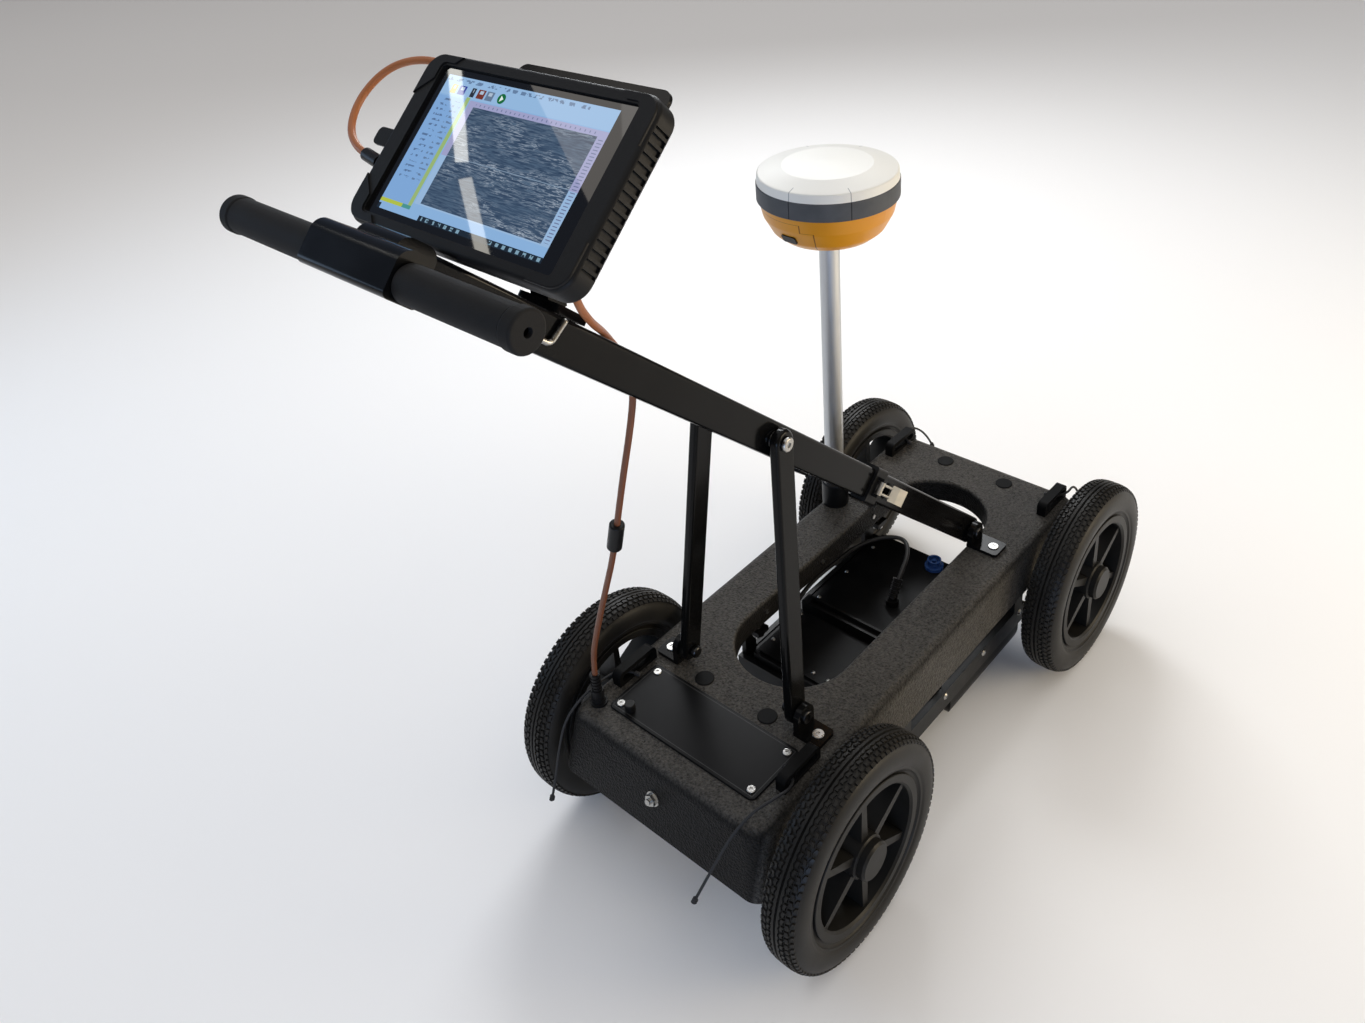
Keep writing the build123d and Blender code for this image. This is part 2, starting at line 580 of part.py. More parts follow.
def control_unit():
    left = BUTTON_X + 2 * BUTTON_RADIUS
    return block(left, 85, REAR_AXLE_Y - 82, REAR_AXLE_Y + 18, WHEEL_RADIUS + 20, UNDER_DECK)


def battery_pack():
    return block(-100, 100, FRONT_AXLE_Y - 6, FRONT_AXLE_Y + 46, UNDER_DECK - BATTERY_HEIGHT, UNDER_DECK)


def pole_clamp():
    foot = at(POLE_X, POLE_FROM_AXLE, DECK_HEIGHT - 10)
    body = rod(CLAMP_RADIUS, foot, foot + Vector(0, 0, CLAMP_HEIGHT + 10))
    body = fillet(body.edges().group_by(Axis.Z)[-1], 3)
    body -= shell_outside()
    bore = at(POLE_X, POLE_FROM_AXLE, DECK_HEIGHT + 3)
    return body - rod(POLE_RADIUS + RUNNING_GAP, bore, bore + Vector(0, 0, 2 * CLAMP_HEIGHT))


def pole():
    body = rod(POLE_RADIUS, at(POLE_X, POLE_FROM_AXLE, DECK_HEIGHT + 3), at(POLE_X, POLE_FROM_AXLE, POLE_TOP))
    collar = at(POLE_X, POLE_FROM_AXLE, POLE_TOP - 9)
    body += rod(POLE_RADIUS + 4, collar, collar + Vector(0, 0, 9))
    return body + rod(8, at(POLE_X, POLE_FROM_AXLE, POLE_TOP), at(POLE_X, POLE_FROM_AXLE, POLE_TOP + 12))


def receiver_parts():
    base = at(POLE_X, POLE_FROM_AXLE, POLE_TOP)
    top = RECEIVER_BODY_HEIGHT
    bowl = [
        (0, 0),
        (RECEIVER_FOOT_RADIUS, 0),
        (RECEIVER_RADIUS - 20, 10),
        (RECEIVER_RADIUS - 8, 0.6 * top),
        (RECEIVER_RADIUS - 3, top),
        (0, top),
    ]
    bowl_face = make_face(Polyline(*bowl, close=True))
    bowl_face = fillet(bowl_face.vertices().sort_by(Axis.Y).filter_by_position(Axis.Y, 5, 0.8 * top), 12)
    body = Pos(base) * revolve(Plane.XZ * bowl_face, Axis.Z)
    band = Pos(base) * Pos(0, 0, top) * extrude(Circle(RECEIVER_RADIUS), RECEIVER_BAND_HEIGHT)
    band = fillet(band.edges(), 2)
    cap_face = make_face(
        Polyline(
            (0, 0),
            (RECEIVER_RADIUS - 1, 0),
            (RECEIVER_RADIUS - 2, RECEIVER_CAP_RIM),
            (RECEIVER_RADIUS - 36, RECEIVER_CAP_HEIGHT - 4),
            (0, RECEIVER_CAP_HEIGHT),
            close=True,
        )
    )
    rim_corners = cap_face.vertices().filter_by_position(Axis.Y, 1, RECEIVER_CAP_HEIGHT - 1)
    cap_face = fillet(rim_corners, 2.5)
    cap = Pos(base) * Pos(0, 0, top + RECEIVER_BAND_HEIGHT) * revolve(Plane.XZ * cap_face, Axis.Z)
    body -= rod(8 + RUNNING_GAP, base, base + Vector(0, 0, 13))
    door = Box(16, 24, 13)
    door = fillet(door.edges().filter_by(Axis.X), 3)
    port = Rot(0, 0, -93) * Pos(RECEIVER_RADIUS - 15.7, 0, 18) * Rot(0, 28, 0) * Pos(-6.5, 0, 0) * door
    port = Pos(base) * port
    body -= port
    return body, port, band, cap


def antenna_frame():
    rear = REAR_AXLE_Y + SLED_REAR_FROM_AXLE
    front = REAR_AXLE_Y + SLED_FRONT_FROM_AXLE
    low = SLED_RAIL_TOP - SLED_RAIL_DEPTH
    inside = SLED_HALF_WIDTH - SLED_RAIL_THICKNESS
    body = block(-SLED_HALF_WIDTH, SLED_HALF_WIDTH, rear, front, low, SLED_RAIL_TOP)
    body -= block(-inside, inside, rear + 8, front - 8, 0, 200)
    lug_top = HANGER_LUG_HEIGHT + 8
    for side in (-1, 1):
        x0, x1 = sorted((side * (HANGER_X - 11), side * SLED_HALF_WIDTH))
        w0, w1 = sorted((side * inside, side * SLED_HALF_WIDTH))
        for y in (rear + HANGER_INSET, front - HANGER_INSET):
            body += block(x0, x1, y - 12, y + 12, HANGER_LUG_HEIGHT, lug_top)
            body += block(w0, w1, y - 12, y + 12, SLED_RAIL_TOP - 1, lug_top)
            body -= rod(HANGER_RADIUS + RUNNING_GAP, (side * HANGER_X, y, 0), (side * HANGER_X, y, 300))
    middle = REAR_AXLE_Y + (MODULE_FRONT_FROM_AXLE + ANTENNA_REAR_FROM_AXLE) / 2
    half = CROSS_CHANNEL_WIDTH / 2
    body += block(-inside - 1, inside + 1, middle - half, middle + half, low, SLED_RAIL_TOP)
    raised = SLED_TOP_HALF
    body += block(-raised, raised, middle - half, middle + half, SLED_RAIL_TOP - 1, CROSS_CHANNEL_TOP)
    trough = block(-raised + 12, raised - 12, middle - half + 4, middle + half - 4, 126, 200)
    return body - trough


def sled_box(rear, front, bottom, round_radius):
    low = SLED_RAIL_TOP - SLED_RAIL_DEPTH
    inside = SLED_HALF_WIDTH - SLED_RAIL_THICKNESS
    box_half = SLED_HALF_WIDTH - SLED_BOX_INSET
    lower = block(-box_half, box_half, rear, front, bottom, low)
    lower = fillet(lower.edges().group_by(Axis.Z)[0], round_radius)
    lower += block(-inside, inside, rear, front, low - 1, SLED_RAIL_TOP - 2)
    return lower + block(-SLED_TOP_HALF, SLED_TOP_HALF, rear, front, SLED_RAIL_TOP - 3, SLED_BOX_TOP)


def antenna_housing():
    rear = REAR_AXLE_Y + ANTENNA_REAR_FROM_AXLE
    front = REAR_AXLE_Y + SLED_FRONT_FROM_AXLE - 8
    return sled_box(rear, front, ANTENNA_BOTTOM, ANTENNA_ROUND)


def antenna_module():
    rear = REAR_AXLE_Y + SLED_REAR_FROM_AXLE + 8
    front = REAR_AXLE_Y + MODULE_FRONT_FROM_AXLE
    return sled_box(rear, front, MODULE_BOTTOM, MODULE_ROUND)


# The lead's two ends stand on bosses of the lids, and its line is given from the rear axle
LEAD_POINTS = [
    (-8, 412, 132),
    (-9, 423, 147),
    (-10, 436, 160),
    (-18, 474, 178),
    (-42, 498, 180),
    (-76, 482, 176),
    (-99, 444, 170),
    (-105, 400, 166),
    (-104, 345, 172),
    (-104, 304, 164),
    (-104, 290, 150),
    (-104, 290, 132),
]


def antenna_lids():
    top = LID_TOP - LID_THICKNESS
    spans = (
        (ANTENNA_REAR_FROM_AXLE, SLED_FRONT_FROM_AXLE - 8, LEAD_POINTS[0]),
        (SLED_REAR_FROM_AXLE + 8, MODULE_FRONT_FROM_AXLE, LEAD_POINTS[-1]),
    )
    lids = []
    for rear, front, (x, y, z) in spans:
        plate = extrude(RectangleRounded(2 * SLED_TOP_HALF - 4, front - rear - 12, 6), LID_THICKNESS)
        lid = Pos(at(0, (rear + front) / 2, top)) * plate
        lids.append(lid + rod(10, at(x, y, top), at(x, y, z)))
    return lids


def antenna_plug():
    foot = at(ANTENNA_PLUG_X, ANTENNA_PLUG_FROM_AXLE, LID_TOP)
    body = rod(15, foot, foot + Vector(0, 0, 5)) + rod(11, foot, foot + Vector(0, 0, 16))
    body -= rod(8.5, foot + Vector(0, 0, 9), foot + Vector(0, 0, 20))
    return body + rod(3.5, foot + Vector(0, 0, 8), foot + Vector(0, 0, 15))


def antenna_lead():
    lead = cord([at(*point) for point in LEAD_POINTS], LEAD_RADIUS)
    seat = at(*LEAD_POINTS[0])
    return lead - block(-100, 100, seat.Y - 50, seat.Y + 50, seat.Z - 20, seat.Z)


def lead_boot():
    route = [at(*point) for point in LEAD_POINTS]
    way = (route[1] - route[0]).normalized()
    base = route[0] + Vector(0, 0, 3.5)
    boot = rod(7.5, base, base + way * LEAD_BOOT_LENGTH)
    for index in range(4):
        ring = base + way * (6 + 6 * index)
        boot -= rod(9, ring, ring + way * 2.5) - rod(6, ring - way, ring + way * 4)
    boot -= block(-100, 100, route[0].Y - 50, route[0].Y + 50, route[0].Z - 20, route[0].Z + RUNNING_GAP)
    return boot - cord(route, LEAD_RADIUS + RUNNING_GAP)


def hanger_pins():
    pins = []
    for side in (-1, 1):
        for y in (SLED_REAR_FROM_AXLE + HANGER_INSET, SLED_FRONT_FROM_AXLE - HANGER_INSET):
            x = side * HANGER_X
            pin = rod(HANGER_RADIUS, at(x, y, HANGER_LUG_HEIGHT - 7), at(x, y, UNDER_DECK))
            pin += rod(9, at(x, y, HANGER_LUG_HEIGHT - 6), at(x, y, HANGER_LUG_HEIGHT - 0.1))
            pin += rod(11, at(x, y, UNDER_DECK - 5), at(x, y, UNDER_DECK))
            pins.append(pin)
    return pins


def strut():
    middle = (STRUT_FOOT + STRUT_HEAD) * 0.5
    length = (STRUT_HEAD - STRUT_FOOT).length
    side_view = Plane(origin=middle, x_dir=STRUT_WAY, z_dir=STRUT_SIDE)
    body = extrude(side_view * SlotCenterToCenter(length, STRUT_WIDTH), STRUT_THICKNESS / 2, both=True)
    body = fillet(body.edges(), STRUT_EDGE)
    for pivot in (STRUT_FOOT, STRUT_HEAD):
        body -= rod(PIVOT_RADIUS + RUNNING_GAP, pivot - Vector(60, 0, 0), pivot + Vector(60, 0, 0))
    return body


def strut_bolt():
    y = STRUT_HEAD.Y
    z = STRUT_HEAD.Z
    outer_x = STRUT_HEAD.X + STRUT_THICKNESS / 2 + 0.9
    inner_x = STRUT_TOP_ON_BEAM.X - BEAM_WIDTH / 2 - 1.2
    spacer_x = STRUT_TOP_ON_BEAM.X + BEAM_WIDTH / 2 + 1.0
    spacer = rod(11, (spacer_x, y, z), (spacer_x + 1.8, y, z))
    return pivot_bolt(inner_x, outer_x, y, z) + spacer


def arm_section():
    return RectangleRounded(BEAM_WIDTH, BEAM_DEPTH, BEAM_CORNER)


def lower_arm():
    body = JOINT_FRAME * extrude(arm_section(), LOWER_ARM_LENGTH)
    side_view = Plane(origin=FRONT_PIVOT, x_dir=BEAM_WAY, z_dir=BEAM_SIDE)
    body += extrude(side_view * Circle(BEAM_DEPTH / 2), BEAM_WIDTH / 2, both=True)
    for row in (-1, 0, 1):
        for side in (-1, 1):
            groove = Box(2 * ARM_GROOVE_DEPTH, ARM_GROOVE, LOWER_ARM_LENGTH - 60)
            place = Pos(side * BEAM_WIDTH / 2, row * ARM_GROOVE_PITCH, LOWER_ARM_LENGTH / 2)
            body -= JOINT_FRAME * place * groove
    body -= rod(PIVOT_RADIUS + RUNNING_GAP, FRONT_PIVOT - Vector(40, 0, 0), FRONT_PIVOT + Vector(40, 0, 0))
    keeper = JOINT_FRAME * Pos(BEAM_WIDTH / 2 + 2.75, 0, 13) * Box(5.5, 16, 12)
    return [body, keeper]


def beam():
    length = (BEAM_JOINT - BEAM_TOP).length - BEAM_START - JOINT_GAP
    start = Plane(origin=BEAM_TOP + BEAM_WAY * BEAM_START, x_dir=BEAM_SIDE, z_dir=BEAM_WAY)
    body = extrude(start * arm_section(), length)
    head = STRUT_TOP_ON_BEAM
    return body - rod(PIVOT_RADIUS + RUNNING_GAP, head - Vector(40, 0, 0), head + Vector(40, 0, 0))


def latch_block():
    middle = -JOINT_GAP - LATCH_BLOCK_LENGTH / 2
    outer = BEAM_WIDTH / 2 + LATCH_BLOCK_WALL
    pin_x = outer + LATCH_PIN_OUT
    body = Pos(0, 0, middle) * Box(2 * outer, BEAM_DEPTH + 2 * LATCH_BLOCK_WALL, LATCH_BLOCK_LENGTH)
    body = fillet(body.edges().filter_by(Axis.Z), 3)
    body -= Pos(0, 0, middle - 40) * extrude(arm_section(), 80)
    for side in (-1, 1):
        body += Pos((outer + pin_x + 3) / 2 - 0.5, side * LATCH_LUG_SPACING / 2, middle) * Box(
            pin_x + 4 - outer, LATCH_LUG_THICKNESS, 9
        )
    reach = LATCH_LUG_SPACING / 2 + 1
    body += rod(LATCH_PIN_RADIUS, (pin_x, -reach, middle), (pin_x, reach, middle))
    return JOINT_FRAME * body


def latch_lever():
    middle = -JOINT_GAP - LATCH_BLOCK_LENGTH / 2
    pin_x = BEAM_WIDTH / 2 + LATCH_BLOCK_WALL + LATCH_PIN_OUT
    half = LATCH_LUG_SPACING / 2 - LATCH_LUG_THICKNESS / 2 - 0.3
    body = rod(LATCH_KNUCKLE_RADIUS, (pin_x, -half, middle), (pin_x, half, middle))
    for side in (-1, 1):
        body += rod(2, (pin_x, side * 6, middle), (pin_x, side * 6, middle + LATCH_ROD_LENGTH + 3))
    start = middle + LATCH_ROD_LENGTH
    end = start + LATCH_PADDLE_LENGTH
    thick = LATCH_PADDLE_THICKNESS
    profile = make_face(
        Polyline(
            (pin_x - thick / 2, start),
            (pin_x + thick / 2, start),
            (pin_x + thick / 2, end - 12),
            (pin_x + thick / 2 + 5, end),
            (pin_x - thick / 2 + 5, end + 1),
            (pin_x - thick / 2, end - 11),
            close=True,
        )
    )
    body += extrude(Plane.XZ * profile, LATCH_PADDLE_WIDTH / 2, both=True)
    body -= rod(LATCH_PIN_RADIUS + RUNNING_GAP, (pin_x, -20, middle), (pin_x, 20, middle))
    return JOINT_FRAME * body


def handlebar_tube():
    reach = Vector(HANDLEBAR_LENGTH / 2, 0, 0)
    body = rod(HANDLEBAR_RADIUS, HANDLEBAR_CENTRE - reach, HANDLEBAR_CENTRE + reach)
    return body - rod(HANDLEBAR_BORE, HANDLEBAR_CENTRE - reach * 2, HANDLEBAR_CENTRE + reach * 2)


def handlebar_yoke():
    frame = Plane(origin=HANDLEBAR_CENTRE, x_dir=(1, 0, 0), z_dir=SLOPE_WAY).location
    half = YOKE_WIDTH / 2
    hub = block(-half, half, -YOKE_ABOVE, YOKE_BELOW, -YOKE_REAR, YOKE_HUB_FRONT)
    hub = fillet(hub.edges().filter_by(Axis.X).group_by(Axis.Y)[0], YOKE_TOP_FILLET)
    hub = fillet(hub.edges().filter_by(Axis.X).group_by(Axis.Y)[-1], YOKE_FILLET)
    half = YOKE_SOCKET_WIDTH / 2
    socket = block(-half, half, -YOKE_SOCKET_ABOVE, YOKE_SOCKET_BELOW, 0, YOKE_FRONT)
    socket = fillet(socket.edges().filter_by(Axis.X).group_by(Axis.Y)[0], YOKE_TOP_FILLET)
    body = frame * (hub + socket)
    reach = Vector(YOKE_WIDTH, 0, 0)
    body -= rod(HANDLEBAR_RADIUS + RUNNING_GAP, HANDLEBAR_CENTRE - reach, HANDLEBAR_CENTRE + reach)
    for side in both_sides(beam()):
        body -= side
    return body


def grip():
    start = YOKE_WIDTH / 2 + 0.5
    middle = start + GRIP_LENGTH
    centre = HANDLEBAR_CENTRE
    sleeve = rod(GRIP_RADIUS, centre + Vector(start, 0, 0), centre + Vector(middle, 0, 0))
    sleeve = fillet(sleeve.edges().group_by(Axis.X)[0], 3)
    cap = rod(GRIP_CAP_RADIUS, centre + Vector(middle, 0, 0), centre + Vector(middle + GRIP_CAP_LENGTH, 0, 0))
    cap = fillet(cap.edges(), 2.5)
    cap -= rod(BAR_END_RADIUS, centre, centre + Vector(HANDLEBAR_LENGTH, 0, 0))
    bore = rod(HANDLEBAR_RADIUS + RUNNING_GAP, centre, centre + Vector(HANDLEBAR_LENGTH / 2 + 0.5, 0, 0))
    return [sleeve - bore, cap - bore]


def tablet_mount():
    foot_y = TILT_AXIS.Y
    share = (foot_y - BEAM_TOP.Y) / (FRONT_PIVOT.Y - BEAM_TOP.Y)
    seat = BEAM_TOP + (FRONT_PIVOT - BEAM_TOP) * share
    frame = Plane(origin=(0, seat.Y, seat.Z), x_dir=(1, 0, 0), z_dir=SLOPE_WAY).location
    low = -BEAM_DEPTH / 2 - SADDLE_SEAT
    half = SADDLE_WIDTH / 2
    saddle = block(-half, half, low - SADDLE_THICKNESS, low, SADDLE_REAR, SADDLE_REAR + SADDLE_LENGTH)
    saddle = frame * fillet(saddle.edges().filter_by(Axis.Y), 5)
    post = block(
        -MOUNT_WIDTH / 2, MOUNT_WIDTH / 2, foot_y - 10, foot_y + 10, seat.Z + BEAM_DEPTH / 2 + 14, TILT_AXIS.Z
    )
    body = saddle + post
    reach = Vector(MOUNT_WIDTH / 2, 0, 0)
    body += rod(TILT_KNUCKLE_RADIUS, TILT_AXIS - reach, TILT_AXIS + reach)
    return body - rod(TILT_PIN_RADIUS + RUNNING_GAP, TILT_AXIS - reach * 2, TILT_AXIS + reach * 2)


def tilt_bolt():
    reach = MOUNT_WIDTH / 2 + MOUNT_GAP + MOUNT_LUG
    body = rod(TILT_PIN_RADIUS, TILT_AXIS - Vector(reach, 0, 0), TILT_AXIS + Vector(reach, 0, 0))
    for side in (-1, 1):
        body += rod(8, TILT_AXIS + Vector(side * reach, 0, 0), TILT_AXIS + Vector(side * (reach + 4), 0, 0))
    return body


def button_on_tablet(radius, low, high):
    return TABLET.location * rod(radius, (100, low, -12), (100, high, -12))


def tablet_case():
    body = extrude(RectangleRounded(CASE_WIDTH, CASE_LENGTH, CASE_CORNER), CASE_THICKNESS)
    body = TABLET.location * Pos(0, 0, -GLASS_THICKNESS - CASE_THICKNESS) * body
    return body - button_on_tablet(4 + RUNNING_GAP, CASE_LENGTH / 2 - 6, CASE_LENGTH)


def tablet_screen():
    glass = extrude(RectangleRounded(GLASS_WIDTH, GLASS_LENGTH, 5), GLASS_THICKNESS)
    return TABLET.location * Pos(0, 0, -GLASS_THICKNESS) * glass


def corner_pads():
    thickness = BUMPER_PAD_RISE + 2
    slab = extrude(RectangleRounded(BUMPER_WIDTH - 4, BUMPER_LENGTH - 4, BUMPER_CORNER - 2), thickness)
    slab = Pos(0, 0, BUMPER_LIP - 2) * fillet(slab.edges().group_by(Axis.Z)[-1], 1.2)
    slab -= Pos(0, 0, -1) * extrude(RectangleRounded(GLASS_WIDTH - 2, GLASS_LENGTH - 2, 6), 20)
    corners = Part()
    for x in (-BUMPER_WIDTH / 2, BUMPER_WIDTH / 2):
        for y in (-BUMPER_LENGTH / 2, BUMPER_LENGTH / 2):
            corners += Pos(x, y, 0) * Rot(0, 0, 45) * Box(2 * BUMPER_PAD_REACH, 2 * BUMPER_PAD_REACH, 40)
    return slab & corners


def tablet_bumper():
    body = extrude(RectangleRounded(BUMPER_WIDTH, BUMPER_LENGTH, BUMPER_CORNER), BUMPER_THICKNESS)
    body = Pos(0, 0, BUMPER_BACK) * body
    body = fillet(body.edges().group_by(Axis.Z)[-1] + body.edges().group_by(Axis.Z)[0], 5)
    body -= Pos(0, 0, -1) * extrude(RectangleRounded(GLASS_WIDTH - 6, GLASS_LENGTH - 6, 4), 20)
    glass = extrude(RectangleRounded(GLASS_WIDTH + 0.1, GLASS_LENGTH + 0.1, 5), GLASS_THICKNESS)
    body -= Pos(0, 0, -GLASS_THICKNESS) * glass
    case = extrude(RectangleRounded(CASE_WIDTH + 0.1, CASE_LENGTH + 0.1, CASE_CORNER), CASE_THICKNESS)
    body -= Pos(0, 0, -GLASS_THICKNESS - CASE_THICKNESS) * case
    body -= Pos(0, 0, -40) * extrude(RectangleRounded(CASE_WIDTH - 30, CASE_LENGTH - 30, CASE_CORNER), 30)
    body += corner_pads()
    middle = (BUMPER_BACK + BUMPER_LIP) / 2
    recess = Box(2 * BUMPER_RIB_HEIGHT, BUMPER_RIBS * BUMPER_RIB_PITCH, BUMPER_RIB_LENGTH)
    rib = Box(BUMPER_RIB_HEIGHT, BUMPER_RIB_WIDTH, BUMPER_RIB_LENGTH)
    plug_pad = Box(BUMPER_RIB_HEIGHT, 18, BUMPER_RIB_LENGTH)
    for side in (-1, 1):
        wall = side * BUMPER_WIDTH / 2
        body -= Pos(wall, 0, middle) * recess
        for index in range(BUMPER_RIBS):
            y = (index - (BUMPER_RIBS - 1) / 2) * BUMPER_RIB_PITCH
            body += Pos(wall - side * BUMPER_RIB_HEIGHT / 2, y, middle) * rib
    body += Pos((BUMPER_RIB_HEIGHT - BUMPER_WIDTH) / 2, PLUG_PLACE, middle) * plug_pad
    flap_end = -BUMPER_WIDTH / 2 - PORT_FLAP_LENGTH
    flap_root = BUMPER_RIB_HEIGHT - BUMPER_WIDTH / 2
    flap = block(flap_end, flap_root + 0.5, PLUG_PLACE + 16, PLUG_PLACE + 34, PLUG_DEPTH - 2, PLUG_DEPTH + 1)
    body += fillet(flap.edges().filter_by(Axis.Z).group_by(Axis.X)[0], 6)
    body = TABLET.location * body
    return body - button_on_tablet(4 + RUNNING_GAP, 0, BUMPER_LENGTH)


def tablet_cradle():
    middle = (CRADLE_TOP + CRADLE_BOTTOM) / 2
    plate = extrude(RectangleRounded(CRADLE_WIDTH, CRADLE_TOP - CRADLE_BOTTOM, 10), CRADLE_THICKNESS)
    body = Pos(CRADLE_X, middle, BUMPER_BACK - CRADLE_THICKNESS) * plate
    back = BUMPER_BACK - CRADLE_THICKNESS + 1
    for side in (-1, 1):
        inner = MOUNT_WIDTH / 2 + MOUNT_GAP
        x0, x1 = sorted((side * inner, side * (inner + MOUNT_LUG)))
        body += block(x0, x1, -12, 12, -TILT_BACK, back)
        body += rod(12, (x0, 0, -TILT_BACK), (x1, 0, -TILT_BACK))
    body -= rod(TILT_PIN_RADIUS + RUNNING_GAP, (-100, 0, -TILT_BACK), (100, 0, -TILT_BACK))
    return TABLET.location * body


def tablet_button():
    return button_on_tablet(4, CASE_LENGTH / 2 - 3, BUMPER_LENGTH / 2 + 2)


LOOP_POINTS = [
    (-182, -22, -12),
    (-218, -16, -13),
    (-243, 23, -14),
    (-230, 66, -15),
    (-192, 86, -18),
    (-149, 88, -27),
    (-106, 74, -41),
    (-58, 50, -50),
    (-8, 30, -53),
    (33, 14, -51),
    (42, -6, -56),
]


def cable_plug():
    foot = Vector(-BUMPER_WIDTH / 2, PLUG_PLACE, PLUG_DEPTH)
    body = TABLET.location * rod(6, foot, foot + Vector(-16, 0, 0))
    way = Vector(LOOP_POINTS[0]) - Vector(LOOP_POINTS[1])
    tip = Vector(LOOP_POINTS[0])
    sleeve = TABLET.location * rod(6.5, tip, tip + way.normalized() * 26)
    return body + sleeve


def cable_loop():
    return cord([TABLET.from_local_coords(Vector(point)) for point in LOOP_POINTS], CABLE_RADIUS)


DROP_POINTS = [
    (57, -181, 930),
    (46, -158, 896),
    (18, -122, 862),
    (1, -98, 834),
    (-1, -77, 800),
    (-4, -73, 760),
    (-13, -77, 712),
    (-28, -80, 655),
    (-46, -80, 592),
    (-66, -80, 520),
    (-92, -80, 450),
    (SOCKET_X + 19, 1 - SOCKET_BEHIND_AXLE, DECK_HEIGHT + 136.5),
    (SOCKET_X, -SOCKET_BEHIND_AXLE, DECK_HEIGHT + 74.5),
    (SOCKET_X, -SOCKET_BEHIND_AXLE, DECK_HEIGHT + 24.5),
]


def drop_route():
    before = TABLET.from_local_coords(Vector(LOOP_POINTS[-2]))
    start = TABLET.from_local_coords(Vector(LOOP_POINTS[-1]))
    lead = start + (start - before).normalized() * 36
    return [start, lead] + [at(*point) for point in DROP_POINTS]


def cable_drop():
    return cord(drop_route(), CABLE_RADIUS)


def ferrite_bead():
    start = at(*DROP_POINTS[8])
    end = at(*DROP_POINTS[9])
    way = (end - start).normalized()
    middle = (start + end) * 0.5
    body = rod(FERRITE_RADIUS, middle - way * FERRITE_LENGTH / 2, middle + way * FERRITE_LENGTH / 2)
    return fillet(body.edges(), 2) - cord(drop_route(), CABLE_RADIUS + RUNNING_GAP)


def cable_boot():
    low = DECK_HEIGHT + SOCKET_HEIGHT
    foot = at(SOCKET_X, -SOCKET_BEHIND_AXLE, low)
    body = rod(8.5, foot, foot + Vector(0, 0, 14))
    body += rod(6.8, foot, foot + Vector(0, 0, BOOT_LENGTH - 4))
    for index in range(4):
        low_ring = 19 + 5.5 * index
        body -= Pos(foot + Vector(0, 0, low_ring)) * (Cylinder(9, 2) - Cylinder(5.6, 2))
    bore = foot + Vector(0, 0, 14.5)
    return body - rod(CABLE_RADIUS + RUNNING_GAP, bore, bore + Vector(0, 0, 2 * BOOT_LENGTH))


# Each tie cord is given outward, forward and up from the middle of its guide's foot
FRONT_TIE = [
    (-13, 9, 7.5),
    (1, 13, 8.5),
    (12, 28, 10.5),
    (9, 51, 7.5),
    (5, 74, -10.5),
    (3, 95, -37.5),
    (2, 106, -57.5),
]
REAR_RIGHT_TIE = [
    (-13, -8, 7.5),
    (1, -12, 8.5),
    (12, -27, 10.5),
    (8, -53, 13.5),
    (-3, -84, 11.0),
    (-11, -112, -7.5),
    (-17, -133, -33.5),
    (-23, -150, -57.5),
    (-29, -164, -81.5),
]
REAR_LEFT_TIE = [
    (-13, -8, 7.5),
    (1, -12, 8.5),
    (12, -27, 10.5),
    (14, -52, 12.5),
    (15, -83, 10.5),
    (19, -114, -9.5),
    (17, -134, -50.5),
    (14, -148, -84.5),
    (15, -158, -110.5),
]


def tie_cord(side, guide_from_axle, points):
    route = []
    for out, forward, up in points:
        route.append(at(side * (GUIDE_X + out), guide_from_axle + forward, DECK_HEIGHT + up))
    return cord(route, TIE_RADIUS)


def cable_hook():
    seat = BEAM_TOP + BEAM_WAY * HOOK_FROM_TOP
    frame = Plane(origin=seat, x_dir=BEAM_SIDE, z_dir=BEAM_WAY).location
    out = BEAM_WIDTH / 2 + HOOK_RADIUS + RUNNING_GAP
    path = FilletPolyline((out, 6, -30), (out, 6, 0), (out, -17, 4), radius=6)
    bar = sweep(Plane(origin=path @ 0, z_dir=path % 0) * Circle(HOOK_RADIUS), path=path)
    for end in (path @ 0, path @ 1):
        bar += Pos(end) * Sphere(HOOK_RADIUS)
    return frame * bar


os.makedirs("parts", exist_ok=True)

wheel_places = {
    "rear_right": (1, REAR_AXLE_Y),
    "rear_left": (-1, REAR_AXLE_Y),
    "front_right": (1, FRONT_AXLE_Y),
    "front_left": (-1, FRONT_AXLE_Y),
}
for place_name, (side, axle_y) in wheel_places.items():
    place = Pos(side * TRACK / 2, axle_y, WHEEL_RADIUS) * Rot(0, 0, 0 if side > 0 else 180)
    save("tyre_" + place_name, [place * tyre()])
    save("rim_" + place_name, [place * rim(), place * hub_cap()])

save("chassis_shell", [chassis_shell()])
save("axles", [axle(REAR_AXLE_Y), axle(FRONT_AXLE_Y)])
save("deck_plugs", [deck_plug(x, y) for x, y in plug_places()])
save("rear_panel", [rear_panel()])
panel_top = DECK_HEIGHT + PANEL_THICKNESS
panel_screws = [screw(x, y, panel_top, SCREW_HEAD_RADIUS) for x, y in panel_screw_places()]
bracket_top = DECK_HEIGHT + BRACKET_PLATE
bracket_screws = [screw(x, y, bracket_top, SCREW_HEAD_RADIUS + 2) for x, y in bracket_screw_places()]
lip_screw_places = [LIP_SCREW_FROM_AXLE + index * LIP_SCREW_PITCH for index in range(3)]
lip_screws = [lip_screw(side, y) for side in (-1, 1) for y in lip_screw_places]
save("deck_screws", panel_screws + bracket_screws + lip_screws + [rear_stud()])
guide_rear = GUIDE_REAR_FROM_AXLE
guide_front = WHEELBASE + GUIDE_FRONT_FROM_AXLE
save("cord_guides", [cord_guide(side * GUIDE_X, y) for side in (-1, 1) for y in (guide_rear, guide_front)])
